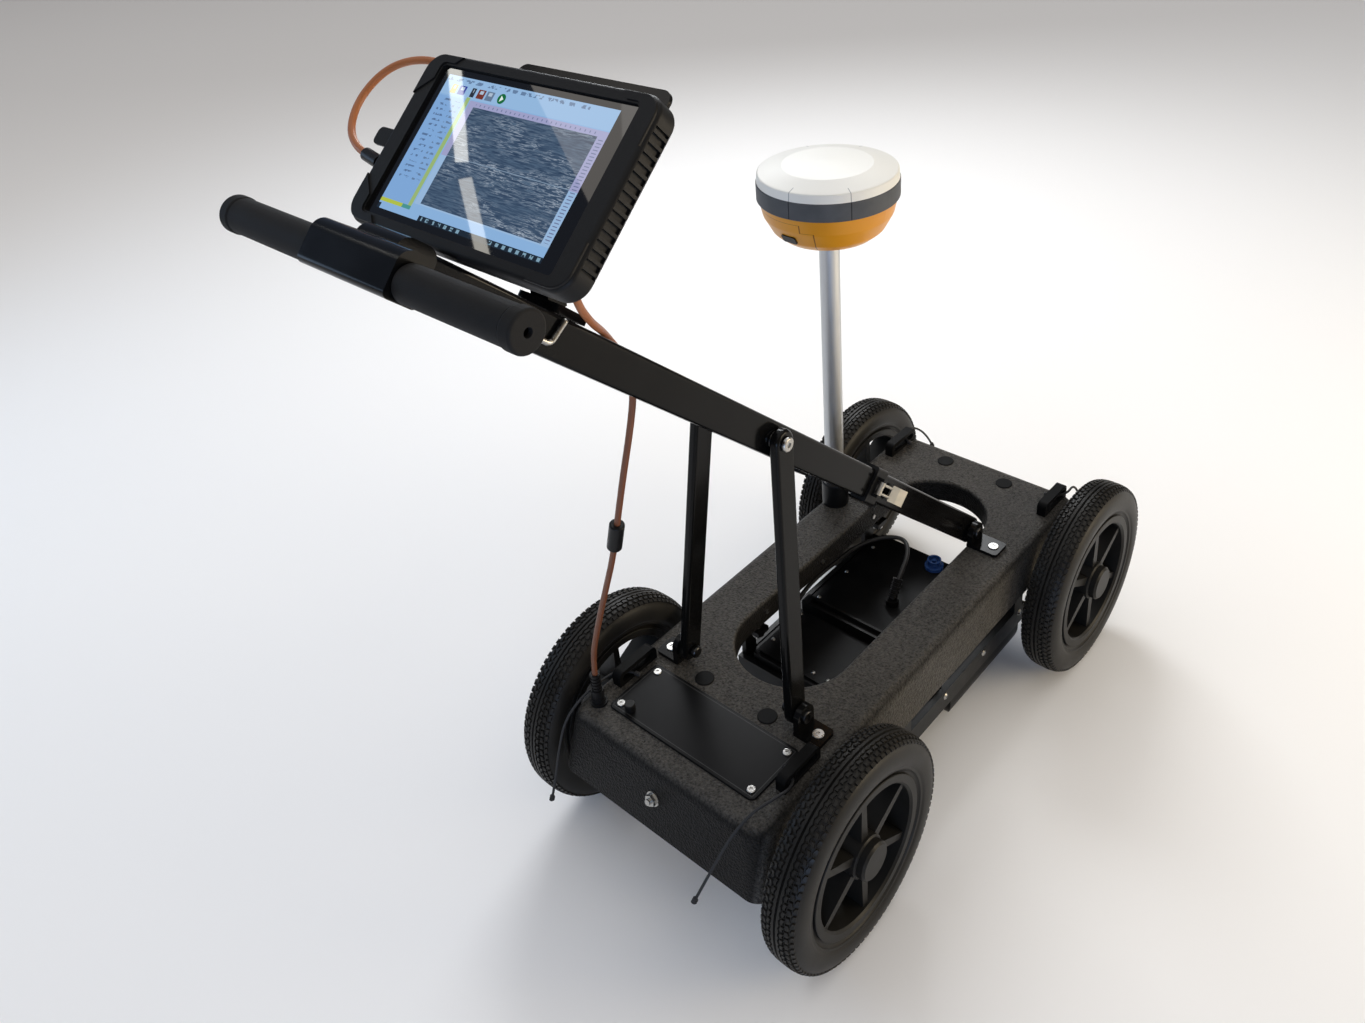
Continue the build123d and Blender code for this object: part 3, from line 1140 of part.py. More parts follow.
front_bracket = hinge_bracket(FRONT_EAR_X, FRONT_BRACKET_LENGTH, FRONT_PIVOT.Y, FRONT_PIVOT.Z)
rear_bracket = hinge_bracket(REAR_EAR_X, REAR_BRACKET_LENGTH, REAR_PIVOT_Y, REAR_PIVOT_Z)
save("hinge_brackets", both_sides(front_bracket) + both_sides(rear_bracket))
front_inner = BEAM_FOOT_X - BEAM_WIDTH / 2 - 2
front_bolt = pivot_bolt(front_inner, FRONT_EAR_X + EAR_THICKNESS, FRONT_PIVOT.Y, FRONT_PIVOT.Z)
rear_inner = STRUT_FOOT.X - STRUT_THICKNESS / 2 - 2
rear_bolt = pivot_bolt(rear_inner, REAR_EAR_X + EAR_THICKNESS, REAR_PIVOT_Y, REAR_PIVOT_Z)
save("pivot_bolts", both_sides(front_bolt) + both_sides(rear_bolt))
save("data_socket", [data_socket()])
save("power_button", [power_button()])
save("control_unit", [control_unit()])
save("battery_pack", [battery_pack()])
save("pole_clamp", [pole_clamp()])
save("pole", [pole()])
for node, shape in zip(("receiver_body", "receiver_port", "receiver_band", "receiver_cap"), receiver_parts()):
    save(node, [shape])
save("antenna_frame", [antenna_frame()])
save("antenna_housing", [antenna_housing()])
save("antenna_module", [antenna_module()])
save("antenna_lids", antenna_lids())
save("antenna_plug", [antenna_plug()])
save("antenna_lead", [antenna_lead()])
save("lead_boot", [lead_boot()])
save("hanger_pins", hanger_pins())
for node, shape in zip(("strut_right", "strut_left"), both_sides(strut())):
    save(node, [shape])
save("strut_bolts", both_sides(strut_bolt()))
arms = []
for shape in lower_arm():
    arms += both_sides(shape)
save("lower_arms", arms)
for node, shape in zip(("beam_right", "beam_left"), both_sides(beam())):
    save(node, [shape])
save("latch_blocks", both_sides(latch_block()))
for node, shape in zip(("latch_right", "latch_left"), both_sides(latch_lever())):
    save(node, [shape])
save("handlebar_tube", [handlebar_tube()])
save("handlebar_yoke", [handlebar_yoke()])
grips = []
for shape in grip():
    grips += both_sides(shape)
save("grips", grips)
save("cable_hook", [cable_hook()])
save("tablet_mount", [tablet_mount()])
save("tilt_bolt", [tilt_bolt()])
save("tablet_case", [tablet_case()])
save("tablet_screen", [tablet_screen()])
save("tablet_bumper", [tablet_bumper()])
save("tablet_cradle", [tablet_cradle()])
save("tablet_button", [tablet_button()])
save("cable_plug", [cable_plug()])
save("cable_loop", [cable_loop()])
save("cable_drop", [cable_drop()])
save("ferrite_bead", [ferrite_bead()])
save("cable_boot", [cable_boot()])
front_ties = [tie_cord(side, guide_front, FRONT_TIE) for side in (1, -1)]
rear_ties = [tie_cord(1, guide_rear, REAR_RIGHT_TIE), tie_cord(-1, guide_rear, REAR_LEFT_TIE)]
save("tie_cords", front_ties + rear_ties)
print("front pivot", FRONT_PIVOT, "rear pivot", STRUT_FOOT, "strut head", STRUT_HEAD)
print("beam joint", BEAM_JOINT, "beam way", BEAM_WAY, "beam side", BEAM_SIDE, "tilt axis", TILT_AXIS)
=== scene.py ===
import math

import bmesh
import bpy
from mathutils import Euler, Matrix, Vector


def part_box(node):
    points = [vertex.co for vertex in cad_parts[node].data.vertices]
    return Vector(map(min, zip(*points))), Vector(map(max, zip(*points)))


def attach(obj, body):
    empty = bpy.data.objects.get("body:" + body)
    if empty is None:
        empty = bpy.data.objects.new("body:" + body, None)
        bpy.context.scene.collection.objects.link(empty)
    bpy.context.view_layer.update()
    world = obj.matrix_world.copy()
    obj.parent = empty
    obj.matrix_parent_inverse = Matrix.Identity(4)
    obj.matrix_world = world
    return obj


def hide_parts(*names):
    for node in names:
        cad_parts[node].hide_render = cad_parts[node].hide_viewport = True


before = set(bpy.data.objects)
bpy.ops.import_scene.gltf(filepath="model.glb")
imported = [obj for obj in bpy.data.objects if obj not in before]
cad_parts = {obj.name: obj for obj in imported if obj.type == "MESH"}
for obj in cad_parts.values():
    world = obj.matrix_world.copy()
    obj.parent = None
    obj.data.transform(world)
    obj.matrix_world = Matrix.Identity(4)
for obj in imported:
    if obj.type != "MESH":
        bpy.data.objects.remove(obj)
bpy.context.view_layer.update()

# The camera stands behind the cart on the operator's right, a little over the handlebar.
# Its lens, tilt and place were fitted to the wheels, the deck and the tablet in the photograph.
photo_width = 1365
photo_height = 1023
focal_length = 1142.06
optical_centre = (694.12, 343.01)
sensor_width = 36
camera_pitch = math.radians(90 - 29.162)
camera_heading = math.radians(44.369)
camera_roll = math.radians(-5.226)
camera_right = 0.7373
camera_behind_axle = 0.7366
camera_height = 1.3663
rear_low, rear_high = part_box("tyre_rear_right")
rear_axle = (rear_low.y + rear_high.y) / 2
camera_data = bpy.data.cameras.new("photo_camera")
camera_data.sensor_width = sensor_width
camera_data.lens = sensor_width * focal_length / photo_width
camera_data.shift_x = (photo_width / 2 - optical_centre[0]) / photo_width
camera_data.shift_y = (optical_centre[1] - photo_height / 2) / photo_width
camera = bpy.data.objects.new("photo_camera", camera_data)
bpy.context.scene.collection.objects.link(camera)
camera_aim = Euler((camera_pitch, 0, camera_heading)).to_matrix()
camera_turn = camera_aim @ Matrix.Rotation(camera_roll, 3, "Z")
camera_place = Matrix.Translation((camera_right, rear_axle - camera_behind_axle, camera_height))
camera.matrix_world = camera_place @ camera_turn.to_4x4()
bpy.context.scene.camera = camera

# The studio is a pale floor under a wide even ceiling, with a box ahead on the left that the deck
# mirrors, cool ones on the left and behind, and a low warm one on the right.
bpy.context.scene.view_settings.view_transform = "Standard"
floor_reach = 20
floor_mesh = bpy.data.meshes.new("floor")
floor_form = bmesh.new()
bmesh.ops.create_grid(floor_form, x_segments=1, y_segments=1, size=floor_reach)
floor_form.to_mesh(floor_mesh)
floor_form.free()
floor = bpy.data.objects.new("floor", floor_mesh)
bpy.context.scene.collection.objects.link(floor)
floor_finish = bpy.data.materials.new("pale_floor")
floor_finish.use_nodes = True
floor_shader = floor_finish.node_tree.nodes["Principled BSDF"]
floor_shader.inputs["Base Color"].default_value = (0.88, 0.88, 0.88, 1)
floor_shader.inputs["Roughness"].default_value = 0.9
floor_mesh.materials.append(floor_finish)


class Flow:
    """A shader socket that plain arithmetic can be done on."""

    def __init__(self, tree, socket=None):
        self.tree = tree
        self.socket = socket

    def node(self, kind, settings=None, inputs=None, output=0):
        """Add a node with its settings, then its values and links, and take one of its outputs."""
        made = self.tree.nodes.new(kind)
        for name, value in (settings or {}).items():
            setattr(made, name, value)
        for name, value in (inputs or {}).items():
            if isinstance(value, Flow):
                self.tree.links.new(value.socket, made.inputs[name])
            else:
                made.inputs[name].default_value = value
        return Flow(self.tree, made.outputs[output])

    def maths(self, operation, other=0.0):
        return self.node("ShaderNodeMath", {"operation": operation}, {0: self, 1: other})

    def __add__(self, other):
        return self.maths("ADD", other)

    __radd__ = __add__

    def __sub__(self, other):
        return self.maths("SUBTRACT", other)

    def __rsub__(self, other):
        return self.node("ShaderNodeMath", {"operation": "SUBTRACT"}, {0: other, 1: self})

    def __mul__(self, other):
        return self.maths("MULTIPLY", other)

    __rmul__ = __mul__

    def __gt__(self, other):
        return self.maths("GREATER_THAN", other)

    def __lt__(self, other):
        return self.maths("LESS_THAN", other)

    def between(self, low, high):
        return (self > low) * (self < high)

    def axis(self, index):
        """One part of a vector: 0 for X, 1 for Y and 2 for Z."""
        return self.node("ShaderNodeSeparateXYZ", None, {0: self}, index)

    def stretched(self, scale):
        return self.node("ShaderNodeMapping", None, {"Vector": self, "Scale": scale})

    def mix(self, start, end):
        """Colour start where this mask is 0, and end where it is 1."""
        start = start if isinstance(start, Flow) else (*start, 1)
        end = end if isinstance(end, Flow) else (*end, 1)
        return self.node("ShaderNodeMix", {"data_type": "RGBA"}, {0: self, 6: start, 7: end}, 2)

    def noise(self, scale, detail, roughness=0.5, distortion=0.0):
        values = {"Vector": self, "Scale": scale, "Detail": detail, "Roughness": roughness}
        return self.node("ShaderNodeTexNoise", None, {**values, "Distortion": distortion})

    def bump(self, strength, distance):
        return self.node("ShaderNodeBump", None, {"Height": self, "Strength": strength, "Distance": distance})


room = bpy.data.worlds.new("dim_room")
bpy.context.scene.world = room
room.use_nodes = True
room_background = room.node_tree.nodes["Background"]
room_way = Flow(room.node_tree).node("ShaderNodeTexCoord")
right_side = room_way.axis(0) * 0.5 + 0.5
room_tint = right_side.mix((0.1, 0.14, 0.22), (0.26, 0.2, 0.12))
room.node_tree.links.new(room_tint.socket, room_background.inputs["Color"])
room_background.inputs["Strength"].default_value = 1.0


def soft_box(name, spot, x_way, aim, size, power, tint):
    """A rectangular light at a spot that faces an aim, its long side along x_way."""
    light = bpy.data.lights.new(name, "AREA")
    light.shape = "RECTANGLE"
    light.size = size[0]
    light.size_y = size[1]
    light.energy = power
    light.color = tint
    lamp = bpy.data.objects.new(name, light)
    back = (spot - aim).normalized()
    up_way = back.cross(x_way).normalized()
    turn = Matrix((up_way.cross(back), up_way, back)).transposed()
    lamp.matrix_world = Matrix.Translation(spot) @ turn.to_4x4()
    lamp.visible_camera = False
    bpy.context.scene.collection.objects.link(lamp)


level = Vector((1, 0, 0))
along = Vector((0, 1, 0))
deck_middle = Vector((0, 0, 0.25))
floor_middle = Vector((0, 0.5, 0))
studio_boxes = [
    ("ceiling_box", (0, 0.5, 9.0), level, floor_middle, (16, 16), 660, (1, 0.98, 0.95)),
    ("ahead_box", (-1.5, 1.9, 2.1), level, deck_middle, (1.5, 0.9), 42, (0.96, 0.98, 1)),
    ("window_box", (-2.4, -1.3, 1.3), along, deck_middle, (1.6, 0.9), 10, (0.55, 0.74, 1)),
    ("behind_box", (1.7, -2.3, 0.7), level, deck_middle, (1.2, 0.7), 20, (0.42, 0.62, 1)),
    ("warm_box", (2.3, 1.4, 0.75), along, deck_middle, (1.4, 0.8), 36, (1, 0.84, 0.6)),
]
for box_name, spot, x_way, aim, size, power, tint in studio_boxes:
    soft_box(box_name, Vector(spot), x_way, aim, size, power, tint)


# The data cable is orange PVC, 7.5 mm thick. It leaves a plug in the tablet's left side, loops up
# behind the tablet, comes down to the beams, drops between them and hangs to the socket on the deck.
def new_finish(name):
    """A new material, its shader and the flow of Object coordinates."""
    material = bpy.data.materials.new(name)
    material.use_nodes = True
    tree = material.node_tree
    place = Flow(tree).node("ShaderNodeTexCoord", None, None, 3)
    return material, tree.nodes["Principled BSDF"], place


def join(shader, **links):
    """Set or link the named sockets of a shader."""
    for name, value in links.items():
        socket = shader.inputs[name.replace("_", " ")]
        if isinstance(value, Flow):
            value.tree.links.new(value.socket, socket)
        else:
            socket.default_value = value


def smooth_line(name, points, diameter, material):
    """A round cord that follows a smooth line through its control points."""
    line = bpy.data.curves.new(name, "CURVE")
    line.dimensions = "3D"
    spline = line.splines.new("NURBS")
    spline.points.add(len(points) - 1)
    for spot, point in zip(spline.points, points):
        spot.co = (*point, 1)
    spline.order_u = 3
    spline.use_endpoint_u = True
    spline.resolution_u = 10
    line.bevel_depth = diameter / 2
    line.bevel_resolution = 5
    line.use_fill_caps = True
    line.materials.append(material)
    piece = bpy.data.objects.new(name, line)
    bpy.context.scene.collection.objects.link(piece)
    return piece


def from_axle(x, y, z):
    """A place in millimetres, measured forward from the rear axle, in metres."""
    return Vector((x / 1000, rear_axle + y / 1000, z / 1000))


cable_orange, cable_shader, cable_place = new_finish("cable_orange")
cable_scuff = cable_place.noise(60, 4)
cable_grime = cable_place.noise(9, 2)
# Painted shade: the cable's colour darkens below 0.7 m, where the drop hangs in the shade of the beams and
# the deck.
painted_shade_below = 0.7
painted_shade_fade = 3.2
cable_out_of_painted_shade = ((cable_place.axis(2) - painted_shade_below) * painted_shade_fade).maths("SMOOTH_MIN", 1.0)
cable_tone = (cable_grime * 1.6 - 0.35).mix((0.34, 0.105, 0.03), (0.46, 0.17, 0.06))
join(
    cable_shader,
    Base_Color=cable_out_of_painted_shade.mix((0.15, 0.05, 0.022), cable_tone),
    Roughness=0.34 + 0.22 * cable_scuff,
    Specular_IOR_Level=0.4,
    Normal=cable_place.noise(900, 2).bump(0.12, 0.0003),
)
tablet_slope = math.radians(41.7)
tablet_centre = from_axle(0, -197.5, 1050.5)
tablet_frame = Matrix.Translation(tablet_centre) @ Matrix.Rotation(tablet_slope, 4, "X")
cable_diameter = 0.0075
loop_points = [
    (-182, -22, -12),
    (-218, -16, -13),
    (-243, 23, -14),
    (-230, 66, -15),
    (-192, 86, -18),
    (-149, 88, -27),
    (-106, 74, -41),
    (-58, 50, -50),
    (-8, 30, -53),
    (33, 14, -51),
    (42, -6, -56),
]
loop_route = [tablet_frame @ (Vector(point) / 1000) for point in loop_points]
cable_loop = smooth_line("cable_loop_line", loop_route, cable_diameter, cable_orange)
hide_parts("cable_loop")
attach(cable_loop, "tablet")
straight_on = 0.036
loop_end = loop_route[-1]
drop_bend = loop_end + (loop_end - loop_route[-2]).normalized() * straight_on
drop_points = [
    (57, -181, 930),
    (46, -158, 896),
    (18, -122, 862),
    (1, -98, 834),
    (-1, -77, 800),
    (-4, -73, 760),
    (-13, -77, 712),
    (-28, -80, 655),
    (-46, -80, 592),
    (-66, -80, 520),
    (-92, -80, 450),
    (-117, -80, 380),
    (-136, -81, 318),
    (-136, -81, 268),
]
drop_route = [loop_end, drop_bend] + [from_axle(*point) for point in drop_points]
cable_drop = smooth_line("cable_drop_line", drop_route, cable_diameter, cable_orange)
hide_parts("cable_drop")
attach(cable_drop, "handle")

# The tie cords are thin black braided cords, one through each cord guide, with a wound stopper knot
# at both ends. They stand out past the edge of the deck and droop.
cord_black, cord_shader, cord_place = new_finish("cord_black")
braid = cord_place.noise(1400, 2)
join(
    cord_shader,
    Base_Color=braid.mix((0.006, 0.006, 0.007), (0.022, 0.022, 0.024)),
    Roughness=0.6 + 0.2 * braid,
    Normal=braid.bump(0.5, 0.0005),
)
tie_diameter = 0.0035
front_tie = [
    (124, 641, 251),
    (138, 645, 252),
    (149, 660, 254),
    (146, 683, 251),
    (142, 706, 233),
    (140, 727, 206),
    (139, 738, 186),
]
rear_right_tie = [
    (124, -20, 251),
    (138, -24, 252),
    (149, -39, 254),
    (145, -65, 257),
    (134, -96, 254.5),
    (126, -124, 236),
    (120, -145, 210),
    (114, -162, 186),
    (108, -176, 162),
]
rear_left_tie = [
    (-124, -20, 251),
    (-138, -24, 252),
    (-149, -39, 254),
    (-151, -64, 256),
    (-152, -95, 254),
    (-156, -126, 234),
    (-154, -146, 193),
    (-151, -160, 159),
    (-152, -170, 133),
]
tie_routes = {
    "front_right": (front_tie, 0.141),
    "front_left": ([(-x, y, z) for x, y, z in front_tie], 0.141),
    "rear_right": (rear_right_tie, 0.217),
    "rear_left": (rear_left_tie, 0.235),
}


def stopper_knot(name, end, before, thickness):
    """A short wound knot round the end of a cord."""
    knot_turns = 2.5
    knot_steps = 48
    knot_length = thickness * 2
    knot_reach = thickness * 0.62
    strand_radius = thickness * 0.42
    knot = bmesh.new()
    strand = bmesh.ops.create_circle(knot, segments=10, radius=strand_radius)["verts"]
    bmesh.ops.rotate(knot, verts=strand, matrix=Matrix.Rotation(math.pi / 2, 3, "X"))
    bmesh.ops.translate(knot, verts=strand, vec=(knot_reach, 0, -knot_length / 2))
    bmesh.ops.spin(
        knot,
        geom=knot.verts[:] + knot.edges[:],
        axis=(0, 0, 1),
        cent=(0, 0, 0),
        dvec=(0, 0, knot_length / knot_steps),
        angle=math.tau * knot_turns,
        steps=knot_steps,
    )
    bmesh.ops.holes_fill(knot, edges=[edge for edge in knot.edges if edge.is_boundary])
    bmesh.ops.recalc_face_normals(knot, faces=knot.faces[:])
    way = (end - before).to_track_quat("Z", "Y").to_matrix().to_4x4()
    bmesh.ops.transform(knot, verts=knot.verts[:], matrix=Matrix.Translation(end) @ way)
    mesh = bpy.data.meshes.new(name)
    knot.to_mesh(mesh)
    knot.free()
    mesh.materials.append(cord_black)
    mesh.shade_smooth()
    piece = bpy.data.objects.new(name, mesh)
    bpy.context.scene.collection.objects.link(piece)
    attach(piece, "chassis")
    return piece


for corner_name, (tie_points, tie_length) in tie_routes.items():
    tie_route = [from_axle(*point) for point in tie_points]
    tie = smooth_line("tie_cord_" + corner_name, tie_route, tie_diameter, cord_black)
    inner_knot = stopper_knot("tie_knot_inner_" + corner_name, tie_route[0], tie_route[1], tie_diameter)
    outer_knot = stopper_knot("tie_knot_outer_" + corner_name, tie_route[-1], tie_route[-2], tie_diameter)
    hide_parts("tie_cords")
    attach(tie, "chassis")

# The antenna lead is a black rubber jumper from the round socket on the front lid of the antenna sled.
# It leaves a ribbed boot, swings round to the left and goes into the housing's own lid.
lead_rubber, lead_shader, lead_place = new_finish("lead_rubber")
lead_scuff = lead_place.noise(70, 3)
join(
    lead_shader,
    Base_Color=lead_scuff.mix((0.008, 0.008, 0.009), (0.02, 0.02, 0.021)),
    Roughness=0.4 + 0.2 * lead_scuff,
    Normal=lead_place.noise(1200, 2).bump(0.15, 0.0003),
)
lead_diameter = 0.007
lead_points = [
    (-8, 412, 132),
    (-9, 423, 147),
    (-10, 436, 160),
    (-18, 474, 178),
    (-42, 498, 180),
    (-76, 482, 176),
    (-99, 444, 170),
    (-105, 400, 166),
    (-104, 345, 172),
    (-104, 304, 164),
    (-104, 290, 150),
    (-104, 290, 132),
]
lead_route = [from_axle(*point) for point in lead_points]
antenna_lead = smooth_line("antenna_lead_line", lead_route, lead_diameter, lead_rubber)
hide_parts("antenna_lead")
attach(antenna_lead, "antenna")

# The tyres are solid black rubber, stretched over the rim's seat, with a plain round side wall.
# Wavy ribs and small blocks run round the tread, and a thin moulding line stands in its middle.
tyre_rubber, tyre_shader, tyre_place = new_finish("tyre_rubber")
tyre_dust = tyre_place.noise(26, 5)
join(
    tyre_shader,
    Base_Color=tyre_dust.mix((0.005, 0.005, 0.005), (0.021, 0.019, 0.016)),
    Roughness=0.36 + 0.2 * tyre_dust,
    Specular_IOR_Level=0.2,
    Normal=tyre_place.noise(700, 3).bump(0.2, 0.0004),
)
tyre_side = [
    (20.4, 101.6),
    (20.4, 108.0),
    (21.6, 110.6),
    (23.4, 112.6),
    (24.4, 113.0),
    (24.9, 114.6),
    (24.8, 115.3),
    (25.4, 117.0),
    (26.2, 118.0),
    (27.0, 121.0),
    (27.5, 126.0),
    (27.4, 131.0),
    (26.8, 135.0),
    (25.8, 138.6),
    (24.4, 141.6),
    (22.6, 144.2),
    (18.6, 146.8),
    (17.2, 147.4),
    (12.8, 148.8),
    (11.2, 149.1),
    (6.8, 149.5),
    (5.4, 149.6),
    (1.1, 149.6),
    (0.45, 149.6),
]
tread_waves = 92
steps_per_wave = 4
tread_steps = tread_waves * steps_per_wave
tread_from_radius = 0.145
wave_from_radius = 0.146
wave_from_side = 3
wave_reach = 0.0009
block_height = 0.0024
block_draft = 0.0004
tread_ribs = [(0, 0.45), (1.1, 5.4)]
tread_blocks = [(6.8, 11.2, 0), (12.8, 17.2, 2), (18.6, 22.6, 0)]
tyre_form = bmesh.new()
tyre_outline = tyre_side + [(-x, radius) for x, radius in reversed(tyre_side)]
tyre_corners = [tyre_form.verts.new((x / 1000, 0, radius / 1000)) for x, radius in tyre_outline]
for corner, following in zip(tyre_corners, tyre_corners[1:] + tyre_corners[:1]):
    tyre_form.edges.new((corner, following))
bmesh.ops.spin(
    tyre_form,
    geom=tyre_form.verts[:] + tyre_form.edges[:],
    axis=(1, 0, 0),
    cent=(0, 0, 0),
    angle=math.tau,
    steps=tread_steps,
    use_merge=True,
)
bmesh.ops.recalc_face_normals(tyre_form, faces=tyre_form.faces[:])
raised = []
for face in tyre_form.faces:
    middle = face.calc_center_median()
    aside = abs(middle.x) * 1000
    turned = (math.atan2(middle.z, middle.y) + math.pi) / math.tau
    step = int(turned * tread_steps) % steps_per_wave
    on_tread = math.hypot(middle.y, middle.z) > tread_from_radius
    on_rib = any(low <= aside < high for low, high in tread_ribs)
    on_block = any(low < aside < high and step != gap for low, high, gap in tread_blocks)
    if on_tread and (on_rib or on_block):
        raised.append(face)
for vert in tyre_form.verts:
    aside = abs(vert.co.x) * 1000
    if math.hypot(vert.co.y, vert.co.z) > wave_from_radius and aside > wave_from_side:
        vert.co.x += wave_reach * math.sin(tread_waves * math.atan2(vert.co.z, vert.co.y))
bmesh.ops.inset_region(
    tyre_form, faces=raised, thickness=block_draft, depth=block_height, use_even_offset=True
)
corner_names = ("rear_right", "rear_left", "front_right", "front_left")
for corner_name in corner_names:
    tyre_low, tyre_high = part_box("tyre_" + corner_name)
    tyre_mesh = bpy.data.meshes.new("tread_" + corner_name)
    tyre_form.to_mesh(tyre_mesh)
    tyre_mesh.transform(Matrix.Translation((tyre_low + tyre_high) / 2))
    tyre_mesh.materials.append(tyre_rubber)
    tyre_mesh.shade_smooth()
    tyre_mesh.set_sharp_from_angle(angle=math.radians(38))
    tyre = bpy.data.objects.new("tread_" + corner_name, tyre_mesh)
    bpy.context.scene.collection.objects.link(tyre)
    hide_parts("tyre_" + corner_name)
    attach(tyre, "wheel_" + corner_name)
tyre_form.free()


# The rims are moulded black nylon with six deep fins, and turn on plain bores on the axles.
# The hub cap is pressed into the hub.
def dress(material, *names):
    """Give CAD nodes a finish in place of their plain slot colour."""
    for name in names:
        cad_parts[name].data.materials[0] = material


def drifting_finish(name, dark, light, gloss, drift_size, grain_size, grain_depth, mirror=0.17, metal=0.0):
    """A finish whose colour and roughness drift over a piece, with a fine grain on it."""
    material, shader, place = new_finish(name)
    drift = place.noise(drift_size, 4)
    join(
        shader,
        Base_Color=drift.mix(dark, light),
        Roughness=gloss[0] + (gloss[1] - gloss[0]) * drift,
        Metallic=metal,
        Specular_IOR_Level=mirror,
        Normal=place.noise(grain_size, 2).bump(grain_depth, 0.0004),
    )
    return material


rim_nylon = drifting_finish(
    "rim_nylon",
    dark=(0.006, 0.0058, 0.0055),
    light=(0.017, 0.016, 0.014),
    gloss=(0.36, 0.52),
    drift_size=18,
    grain_size=520,
    grain_depth=0.15,
)
dress(rim_nylon, *["rim_" + corner_name for corner_name in corner_names])

# The axles are two plain steel bars, held in the bosses of the chassis.
# The wheels run on them and hide all but their ends.
axle_steel = drifting_finish(
    "axle_steel",
    dark=(0.34, 0.34, 0.35),
    light=(0.5, 0.5, 0.5),
    gloss=(0.28, 0.45),
    drift_size=40,
    grain_size=900,
    grain_depth=0.1,
    metal=1,
)
dress(axle_steel, "axles")

# The chassis is one flared tub of black ABS, open below, with a pebble grain outside.
# The deck and the side walls are painted lighter in the grain, as painted light where the lamps catch them;
# the rear face stays dark.
chassis_abs, chassis_shader, chassis_place = new_finish("chassis_abs")
pebble = chassis_place.node(
    "ShaderNodeTexVoronoi", {"feature": "SMOOTH_F1"}, {"Vector": chassis_place, "Scale": 380.0}
)
deck_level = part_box("chassis_shell")[1].z
# Painted light: a pale grey is laid into the grain of the deck and of the flared side walls, but not of the
# rear face.
painted_light_below_deck = 0.006
painted_light_from_side = 0.155
painted_light_steepness = 200
deck_painted_light = (chassis_place.axis(2) - (deck_level - painted_light_below_deck)) * painted_light_steepness
side_painted_light = (chassis_place.axis(0).maths("ABSOLUTE") - painted_light_from_side) * painted_light_steepness
painted_light_mask = deck_painted_light.maths("MAXIMUM", side_painted_light).maths("MAXIMUM", 0.0).maths("MINIMUM", 1.0)
chassis_drift = chassis_place.noise(11, 4)
chassis_speck = chassis_place.noise(260, 5, 0.75)
chassis_tone = (chassis_speck - 0.42) * 3.5 + chassis_drift * 0.3
chassis_painted_light = painted_light_mask * (0.12 + (chassis_speck - 0.4) * 2.2 + chassis_drift * 0.25)
plain_abs = chassis_tone.mix((0.001, 0.001, 0.001), (0.014, 0.013, 0.012))
join(
    chassis_shader,
    Base_Color=chassis_painted_light.mix(plain_abs, (0.105, 0.098, 0.088)),
    Roughness=0.3 + 0.34 * chassis_speck,
    Specular_IOR_Level=0.15,
    Normal=(pebble + chassis_speck * 0.8).bump(1.0, 0.002),
)
dress(chassis_abs, "chassis_shell")

# The plugs are soft black rubber caps, pressed into four spare holes of the deck.
# The cord guides at the corners of the deck are moulded of the same rubber.
plug_rubber = drifting_finish(
    "plug_rubber",
    dark=(0.0015, 0.0015, 0.0015),
    light=(0.005, 0.005, 0.005),
    gloss=(0.5, 0.66),
    drift_size=90,
    grain_size=900,
    grain_depth=0.12,
    mirror=0.08,
)
dress(plug_rubber, "deck_plugs", "cord_guides")

# The rear panel is a thin plate, anodised black and held on the deck by four screws.
# A fine border line runs round it.
panel_black, panel_shader, panel_place = new_finish("panel_black")
panel_low, panel_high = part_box("rear_panel")
panel_middle = (panel_low + panel_high) / 2
panel_half = (panel_high - panel_low) / 2
panel_local = panel_place.node(
    "ShaderNodeMapping", {"vector_type": "TEXTURE"}, {"Vector": panel_place, "Location": tuple(panel_middle)}
)
panel_side = panel_local.axis(0).maths("ABSOLUTE") - panel_half.x
panel_end = panel_local.axis(1).maths("ABSOLUTE") - panel_half.y
panel_line = panel_side.maths("MAXIMUM", panel_end).between(-0.0052, -0.0042)
panel_drift = panel_place.noise(30, 4)
join(
    panel_shader,
    Base_Color=(panel_line * 0.8 + panel_drift * 0.05).mix((0.003, 0.003, 0.0033), (0.045, 0.045, 0.045)),
    Roughness=0.28 + 0.06 * panel_drift,
    Specular_IOR_Level=0.1,
    Normal=(panel_place.noise(1500, 2) * 0.3 - panel_line).bump(0.1, 0.0004),
)
dress(panel_black, "rear_panel")

# The screws of the deck with the stud on the rear face, the strut and tilt bolts, the hanger pins
# and the cable hook are bright steel, turned or bent from bar.
bright_steel = drifting_finish(
    "bright_steel",
    dark=(0.32, 0.315, 0.3),
    light=(0.52, 0.51, 0.49),
    gloss=(0.2, 0.36),
    drift_size=120,
    grain_size=1500,
    grain_depth=0.08,
    metal=1,
)
dress(bright_steel, "deck_screws", "strut_bolts", "tilt_bolt", "hanger_pins", "cable_hook")

# The pivot bolts are blackened steel.
# They hold the struts and the lower arms in their brackets.
dark_steel = drifting_finish(
    "dark_steel",
    dark=(0.03, 0.03, 0.032),
    light=(0.07, 0.07, 0.07),
    gloss=(0.22, 0.4),
    drift_size=110,
    grain_size=1200,
    grain_depth=0.1,
    metal=1,
)
dress(dark_steel, "pivot_bolts")

# Brackets, struts, arms, beams, handlebar tube and tablet mount are aluminium, bolted together.
# They have a thick glossy black powder coat.
gloss_paint = drifting_finish(
    "gloss_paint",
    dark=(0.002, 0.002, 0.002),
    light=(0.006, 0.006, 0.006),
    gloss=(0.1, 0.22),
    drift_size=22,
    grain_size=420,
    grain_depth=0.07,
    mirror=0.1,
)
join(gloss_paint.node_tree.nodes["Principled BSDF"], Coat_Weight=0.04, Coat_Roughness=0.1)
dress(
    gloss_paint,
    "hinge_brackets",
    "strut_right",
    "strut_left",
    "lower_arms",
    "beam_right",
    "beam_left",
    "handlebar_tube",
    "tablet_mount",
    "tablet_cradle",
)

